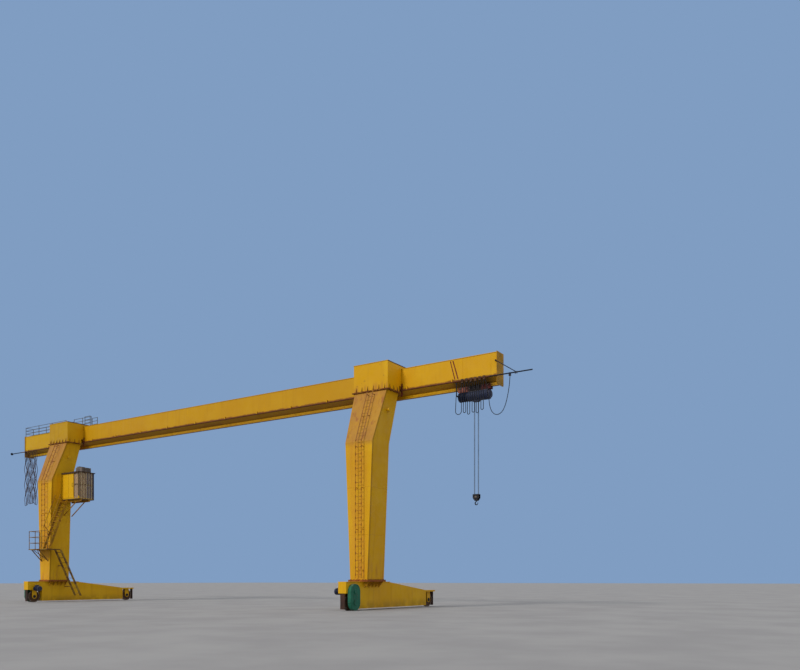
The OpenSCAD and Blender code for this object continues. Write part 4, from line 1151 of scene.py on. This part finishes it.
def drive_motor_details():
    """Fins, fan grille and terminal lid of the two travel motors."""
    parts = []
    z = AXLE_Z + MOTOR_RISE
    y = -AXLE_Y
    for centre, side in zip(LEG_X, BOTH):
        start, end, face = ((centre + side * x, y, z) for x in (0.225, 0.565, 0.64))
        parts.append(cooling_fins("motor_fins", start, end, 0.138, 16))
        parts += wire_rings(face, Y, (0.04, 0.07, 0.1), 0.004, 24)
        low = min(centre + side * 0.285, centre + side * 0.435)
        parts.append(block((low, y - 0.085, z + 0.185), (low + 0.15, y + 0.085, z + 0.197), 0.004))
    dress(join(parts, "drive_motor_details"), SLATE)


# Cab

def cab_details():
    """Front panels, door hinges and handle, gutter, seat and desks of the cab."""
    low = CAB_LOW
    top = CAB_HIGH.z - 0.05
    right = CAB_HIGH.x - 0.045
    front = -1.675
    strip = []
    for x0, x1 in ((low.x + 0.07, low.x + 0.60), (low.x + 0.62, low.x + 1.08)):
        plate = ((x0, front - 0.014, low.z + 0.12), (x1, front, top - 0.06))
        strip.append(panel(*plate, -Y, 0.05, 0.008))
    x, y = low.x + 0.61, front - 0.012
    for z in (low.z + 0.3, low.z + 0.8, low.z + 1.3):
        strip.append(bar((x, y, z - 0.05), (x, y, z + 0.05), 0.011, 12, 0.002))
    dress(join(strip, "cab_front_panels"), YELLOW)
    gutter = block((low.x, front - 0.060, top - 0.04), (right + 0.05, front - 0.045, top + 0.02), 0.004)
    gutter.name = "cab_gutter"
    dress(gutter, DARK_PLATE)
    grip = ((0.012, 0.72), (0.05, 0.73), (0.055, 0.82), (0.05, 0.91), (0.012, 0.92))
    line = evenly([Vector((low.x + 1.02, front - out, low.z + up)) for out, up in grip], 0.01)
    dress(tube("cab_door_fittings", line, 0.008, 10), BLACK)

    x, y = right - 0.78, front + 0.47
    floor = low.z + 0.07
    pan = block((x - 0.22, y - 0.22, floor + 0.40), (x + 0.22, y + 0.22, floor + 0.48), 0.03, 4)
    back = block((x - 0.25, y - 0.2, floor + 0.46), (x - 0.17, y + 0.2, floor + 0.92), 0.03, 4)
    post = bar((x, y, floor), (x, y, floor + 0.41), 0.04, 16, 0.004, 2)
    dress(smooth(join([pan, back, post], "cab_seat")), BLACK)

    desks = []
    x = right - 0.26
    for y in (front + 0.14, front + 0.72):
        desk = new_box((right - 0.42, y - 0.1, floor), (right - 0.09, y + 0.1, floor + 0.62))
        edit(desk, Z)
        bpy.ops.transform.rotate(
            value=math.radians(14), orient_axis="Y", center_override=(right - 0.25, y, floor + 0.62),
        )
        bpy.ops.mesh.inset(thickness=0.015)
        bpy.ops.transform.translate(value=(0, 0, -0.006))
        leave_edit()
        desks.append(bevelled(desk, 0.006))
        desks.append(new_round((x, y, floor + 0.60), (x - 0.01, y, floor + 0.74), 0.009, 10))
        desks.append(bar((x - 0.01, y, floor + 0.73), (x - 0.01, y, floor + 0.775), 0.02, 12, 0.009, 3))
    dress(smooth(join(desks, "cab_desks")), GREY)


def roof_unit_details():
    """Fan grille and louvres of the unit on the cab's roof."""
    low, high = corners("cab_roof_unit")
    fan = (high.x - 0.28, low.y, low.z + 0.135)
    parts = wire_rings(fan, X, (0.03, 0.055, 0.08, 0.1), 0.004, 28)
    slat = new_box((high.x - 0.002, low.y + 0.06, low.z + 0.04),
                   (high.x + 0.010, low.y + 0.53, low.z + 0.046))
    edit(slat, X)
    bpy.ops.transform.translate(value=(0, 0, -0.012))
    leave_edit()
    parts.append(repeated(bevelled(slat, 0.001, 1), [(0, 0, 0.026 * k) for k in range(8)], "louvres"))
    dress(join(parts, "roof_unit_details"), UNIT_GREY)


# Hoist and hook

def hoist_details():
    """Fins, bands, bolts, lid and glands of the hoist."""
    motor_low, motor_high = corners("hoist_motor")
    drum_low, drum_high = corners("hoist_drum_casing")
    gear_high = corners("hoist_gearbox")[1]
    y = GIRDER_Y
    z = (motor_low.z + motor_high.z) / 2
    parts = [cooling_fins("hoist_fins", (motor_low.x + 0.075, y, z), (motor_high.x - 0.03, y, z), 0.192, 20)]
    for x in (drum_low.x + 0.012, drum_high.x - 0.036):
        parts.append(bar((x, y, z), (x + 0.024, y, z), 0.2045, 48, 0.0015, 2))
    parts += wire_rings((motor_low.x, y, z), Y, (0.05, 0.09, 0.13, 0.165), 0.005, 32)
    boss = new_round((gear_high.x, y, z), (gear_high.x + 0.018, y, z), 0.08, 28)
    parts.append(bevelled(inset_and_push(boss, X, 0.02, -0.006), 0.003))
    dress(smooth(join(parts, "hoist_casing_details")), SLATE, "hoist")

    places = []
    for angle in spread(0, 2 * math.pi, 12):
        for x, radius, way in ((gear_high.x - 0.070, 0.183, X), (drum_low.x + 0.012, 0.208, -X)):
            places.append(standing((x, y + radius * math.cos(angle), z + radius * math.sin(angle)), way))
    bolts("hoist_bolts", places, 0.010, 0.010, ZINC, "hoist")

    low, high = corners("hoist_control_box")
    lid = ((low.x + 0.01, high.y, low.z + 0.01), (high.x - 0.01, high.y + 0.014, high.z - 0.01))
    parts = [panel(*lid, Y, 0.02, 0.004)]
    for x in spread(low.x + 0.05, high.x - 0.05, 4):
        parts.append(bar((x, high.y - 0.06, low.z), (x, high.y - 0.06, low.z - 0.03), 0.014, 6, 0.002))
    dress(join(parts, "control_box_lid"), GREY, "hoist")


def carriage_fittings():
    """Axle nuts and tie bolts on the two side plates of the hoist's carriage."""
    low, high = corners("hoist_carriage")
    nut = hex_bolt(0.026, 0.016, 0.010)
    bolt = hex_bolt(0.012, 0.010)
    nuts, ties = [], []
    for y, way in ((low.y, -Y), (high.y, Y)):
        nuts += [standing((x, y, high.z - 0.04), way) for x in (low.x + 0.11, high.x - 0.11)]
        ties += [standing((x, y, high.z - 0.112), way) for x in spread(low.x, high.x, 7)]
    fittings = join([repeated(nut, nuts, "axle_nuts"), repeated(bolt, ties, "tie_bolts")], "carriage_bolts")
    dress(fittings, ZINC, "hoist")


def carrier_fittings():
    """Axle nuts and a clamp bolt on the cheek of each cable carrier."""
    front = PIPE_Y - 0.037
    wheel_out = 0.0275
    wheel_up = 0.0393
    for name, x in zip(CARRIERS, CARRIER_X):
        places = [standing((x + side * wheel_out, front, PIPE_Z + wheel_up), -Y) for side in BOTH]
        places.append(standing((x, front, CARRIER_FOOT + 0.015), -Y))
        bolts(name + "_nuts", places, 0.009, 0.008, ZINC, name)


def arm_fittings():
    """U-bolts on the cable clamp, a split collar at the strut and the bolts of the pipe's brackets."""
    across = PIPE_R + 0.006
    parts = [block(
        (CLAMP_X - 0.045, PIPE_Y - 0.045, CARRIER_FOOT - 0.006),
        (CLAMP_X + 0.045, PIPE_Y + 0.045, CARRIER_FOOT), 0.002, 1,
    )]
    places = []
    for x in (CLAMP_X - 0.024, CLAMP_X + 0.024):
        line = [(across, CARRIER_FOOT - 0.018), (across, PIPE_Z - 0.01)]
        line += [(across * math.cos(a), PIPE_Z + across * math.sin(a)) for a in turns(12, 0.5)]
        line += [(-across, PIPE_Z - 0.01), (-across, CARRIER_FOOT - 0.018)]
        parts.append(tube("u_bolt", evenly([Vector((x, PIPE_Y + y, z)) for y, z in line], 0.008), 0.005, 8))
        places += [standing((x, PIPE_Y + side * across, CARRIER_FOOT - 0.006), -Z) for side in BOTH]
    strut_x = GIRDER_HIGH.x + 0.88
    wide = 0.028
    for x in (strut_x - 0.05, strut_x + 0.022):
        parts.append(bar((x, PIPE_Y, PIPE_Z), (x + wide, PIPE_Y, PIPE_Z), 0.034, 28, 0.003, 2))
        parts.append(block(
            (x, PIPE_Y - 0.012, PIPE_Z - 0.062), (x + wide, PIPE_Y + 0.012, PIPE_Z - 0.02), 0.004,
        ))
    dress(join(parts, "arm_fittings"), BLACK)

    for x in (strut_x - 0.036, strut_x + 0.036):
        places += [standing((x, PIPE_Y + side * 0.012, PIPE_Z - 0.047), side * Y) for side in BOTH]
    low, high = corners("festoon_brackets")
    x = low.x + 0.025
    while x < high.x:
        places += [standing((x, WEB_Y - 0.008, WEB_BOTTOM + z), -Y) for z in (0.035, 0.092)]
        x += BRACKET_PITCH
    bolts("arm_bolts", places, 0.009, 0.008, RUSTY)


def hook_fittings():
    """Axle nuts and cheek bolts of the hook block, and the hook's spring latch."""
    low, high = corners("hook_block")
    x = (low.x + high.x) / 2
    nuts, cheeks = [], []
    for y, way in ((low.y + 0.012, -Y), (high.y - 0.012, Y)):
        nuts.append(standing((x, y, high.z - 0.11), way))
        for dx, dz in ((0.112, 0.028), (0.112, 0.13), (0.05, 0.212)):
            cheeks += [standing((x + side * dx, y, high.z - dz), way) for side in BOTH]
    fittings = join([
        repeated(hex_bolt(0.034, 0.009), nuts, "sheave_nuts"),
        repeated(hex_bolt(0.010, 0.008), cheeks, "cheek_bolts"),
    ], "hook_block_bolts")
    dress(fittings, ZINC, "hook_block")

    y = (low.y + high.y) / 2
    z = low.z - 0.095
    pin, tip = Vector((x + 0.016, y, z + 0.068)), Vector((x + 0.058, y, z + 0.022))
    half = Vector((0.002, 0.011, 0))
    blade = new_box(pin - half, pin + half + (tip - pin).length * Z)
    edit(blade, Z)
    bpy.ops.transform.resize(value=(1, 0.55, 1))
    pick_faces(blade, lambda centre, normal: True)
    lean = math.atan2(tip.x - pin.x, tip.z - pin.z)
    bpy.ops.transform.rotate(value=-lean, orient_axis="Y", center_override=pin)
    leave_edit()
    bevelled(blade, 0.0015)
    axle = bar(pin - 0.02 * Y, pin + 0.02 * Y, 0.006, 12, 0.001)
    dress(join([blade, axle], "hook_latch"), ZINC, "hook")


# Stage and light

def set_stage():
    bpy.ops.object.select_all(action="DESELECT")
    bpy.ops.mesh.primitive_plane_add(size=600, location=(0, 0, 0))
    floor = applied()
    floor.name = "floor"
    mat = Finish("pale_floor")
    mat.colour = mat.grade(mat.noise(0.4, detail=3), 0.3, 0.7, (150, 146, 144), (160, 156, 153))
    floor.data.materials.append(mat.done(0.9))


def set_light():
    """A low soft sun, and a sky that is paler as a light than as the camera sees it."""
    sun = bpy.data.lights.new("sun", "SUN")
    sun.energy = 1.6
    sun.angle = math.radians(14)
    sun.color = (1.0, 0.97, 0.92)
    lamp = bpy.data.objects.new("sun", sun)
    lamp.rotation_euler = Vector((0.16, 0.80, -0.58)).to_track_quat("-Z", "Y").to_euler()
    bpy.context.scene.collection.objects.link(lamp)
    world = bpy.data.worlds.new("sky")
    world.use_nodes = True
    tree = world.node_tree
    light = tree.nodes["Background"]
    light.inputs["Color"].default_value = linear((222, 230, 240))
    light.inputs["Strength"].default_value = 0.80
    seen = tree.nodes.new("ShaderNodeBackground")
    seen.inputs["Color"].default_value = linear((128, 157, 194))
    seen.inputs["Strength"].default_value = 1.0
    path = tree.nodes.new("ShaderNodeLightPath")
    either = tree.nodes.new("ShaderNodeMath")
    either.operation = "MAXIMUM"
    blend = tree.nodes.new("ShaderNodeMixShader")
    for start, end in (
        (path.outputs["Is Camera Ray"], either.inputs[0]),
        (path.outputs["Is Transmission Ray"], either.inputs[1]),
        (either.outputs["Value"], blend.inputs["Fac"]),
        (light.outputs["Background"], blend.inputs[1]),
        (seen.outputs["Background"], blend.inputs[2]),
        (blend.outputs["Shader"], tree.nodes["World Output"].inputs["Surface"]),
    ):
        tree.links.new(start, end)
    bpy.context.scene.world = world
    bpy.context.scene.view_settings.view_transform = "Standard"


for step in (
    festoon_cable, stowed_cable, hoist_ropes,
    flange_bolts, saddle_side_flanges, weld_seams, bearing_caps, gear_cover_details, drive_motor_details,
    cab_details, hoist_details, carriage_fittings, carrier_fittings, arm_fittings, hook_fittings,
    roof_unit_details, set_stage, set_light,
):
    step()
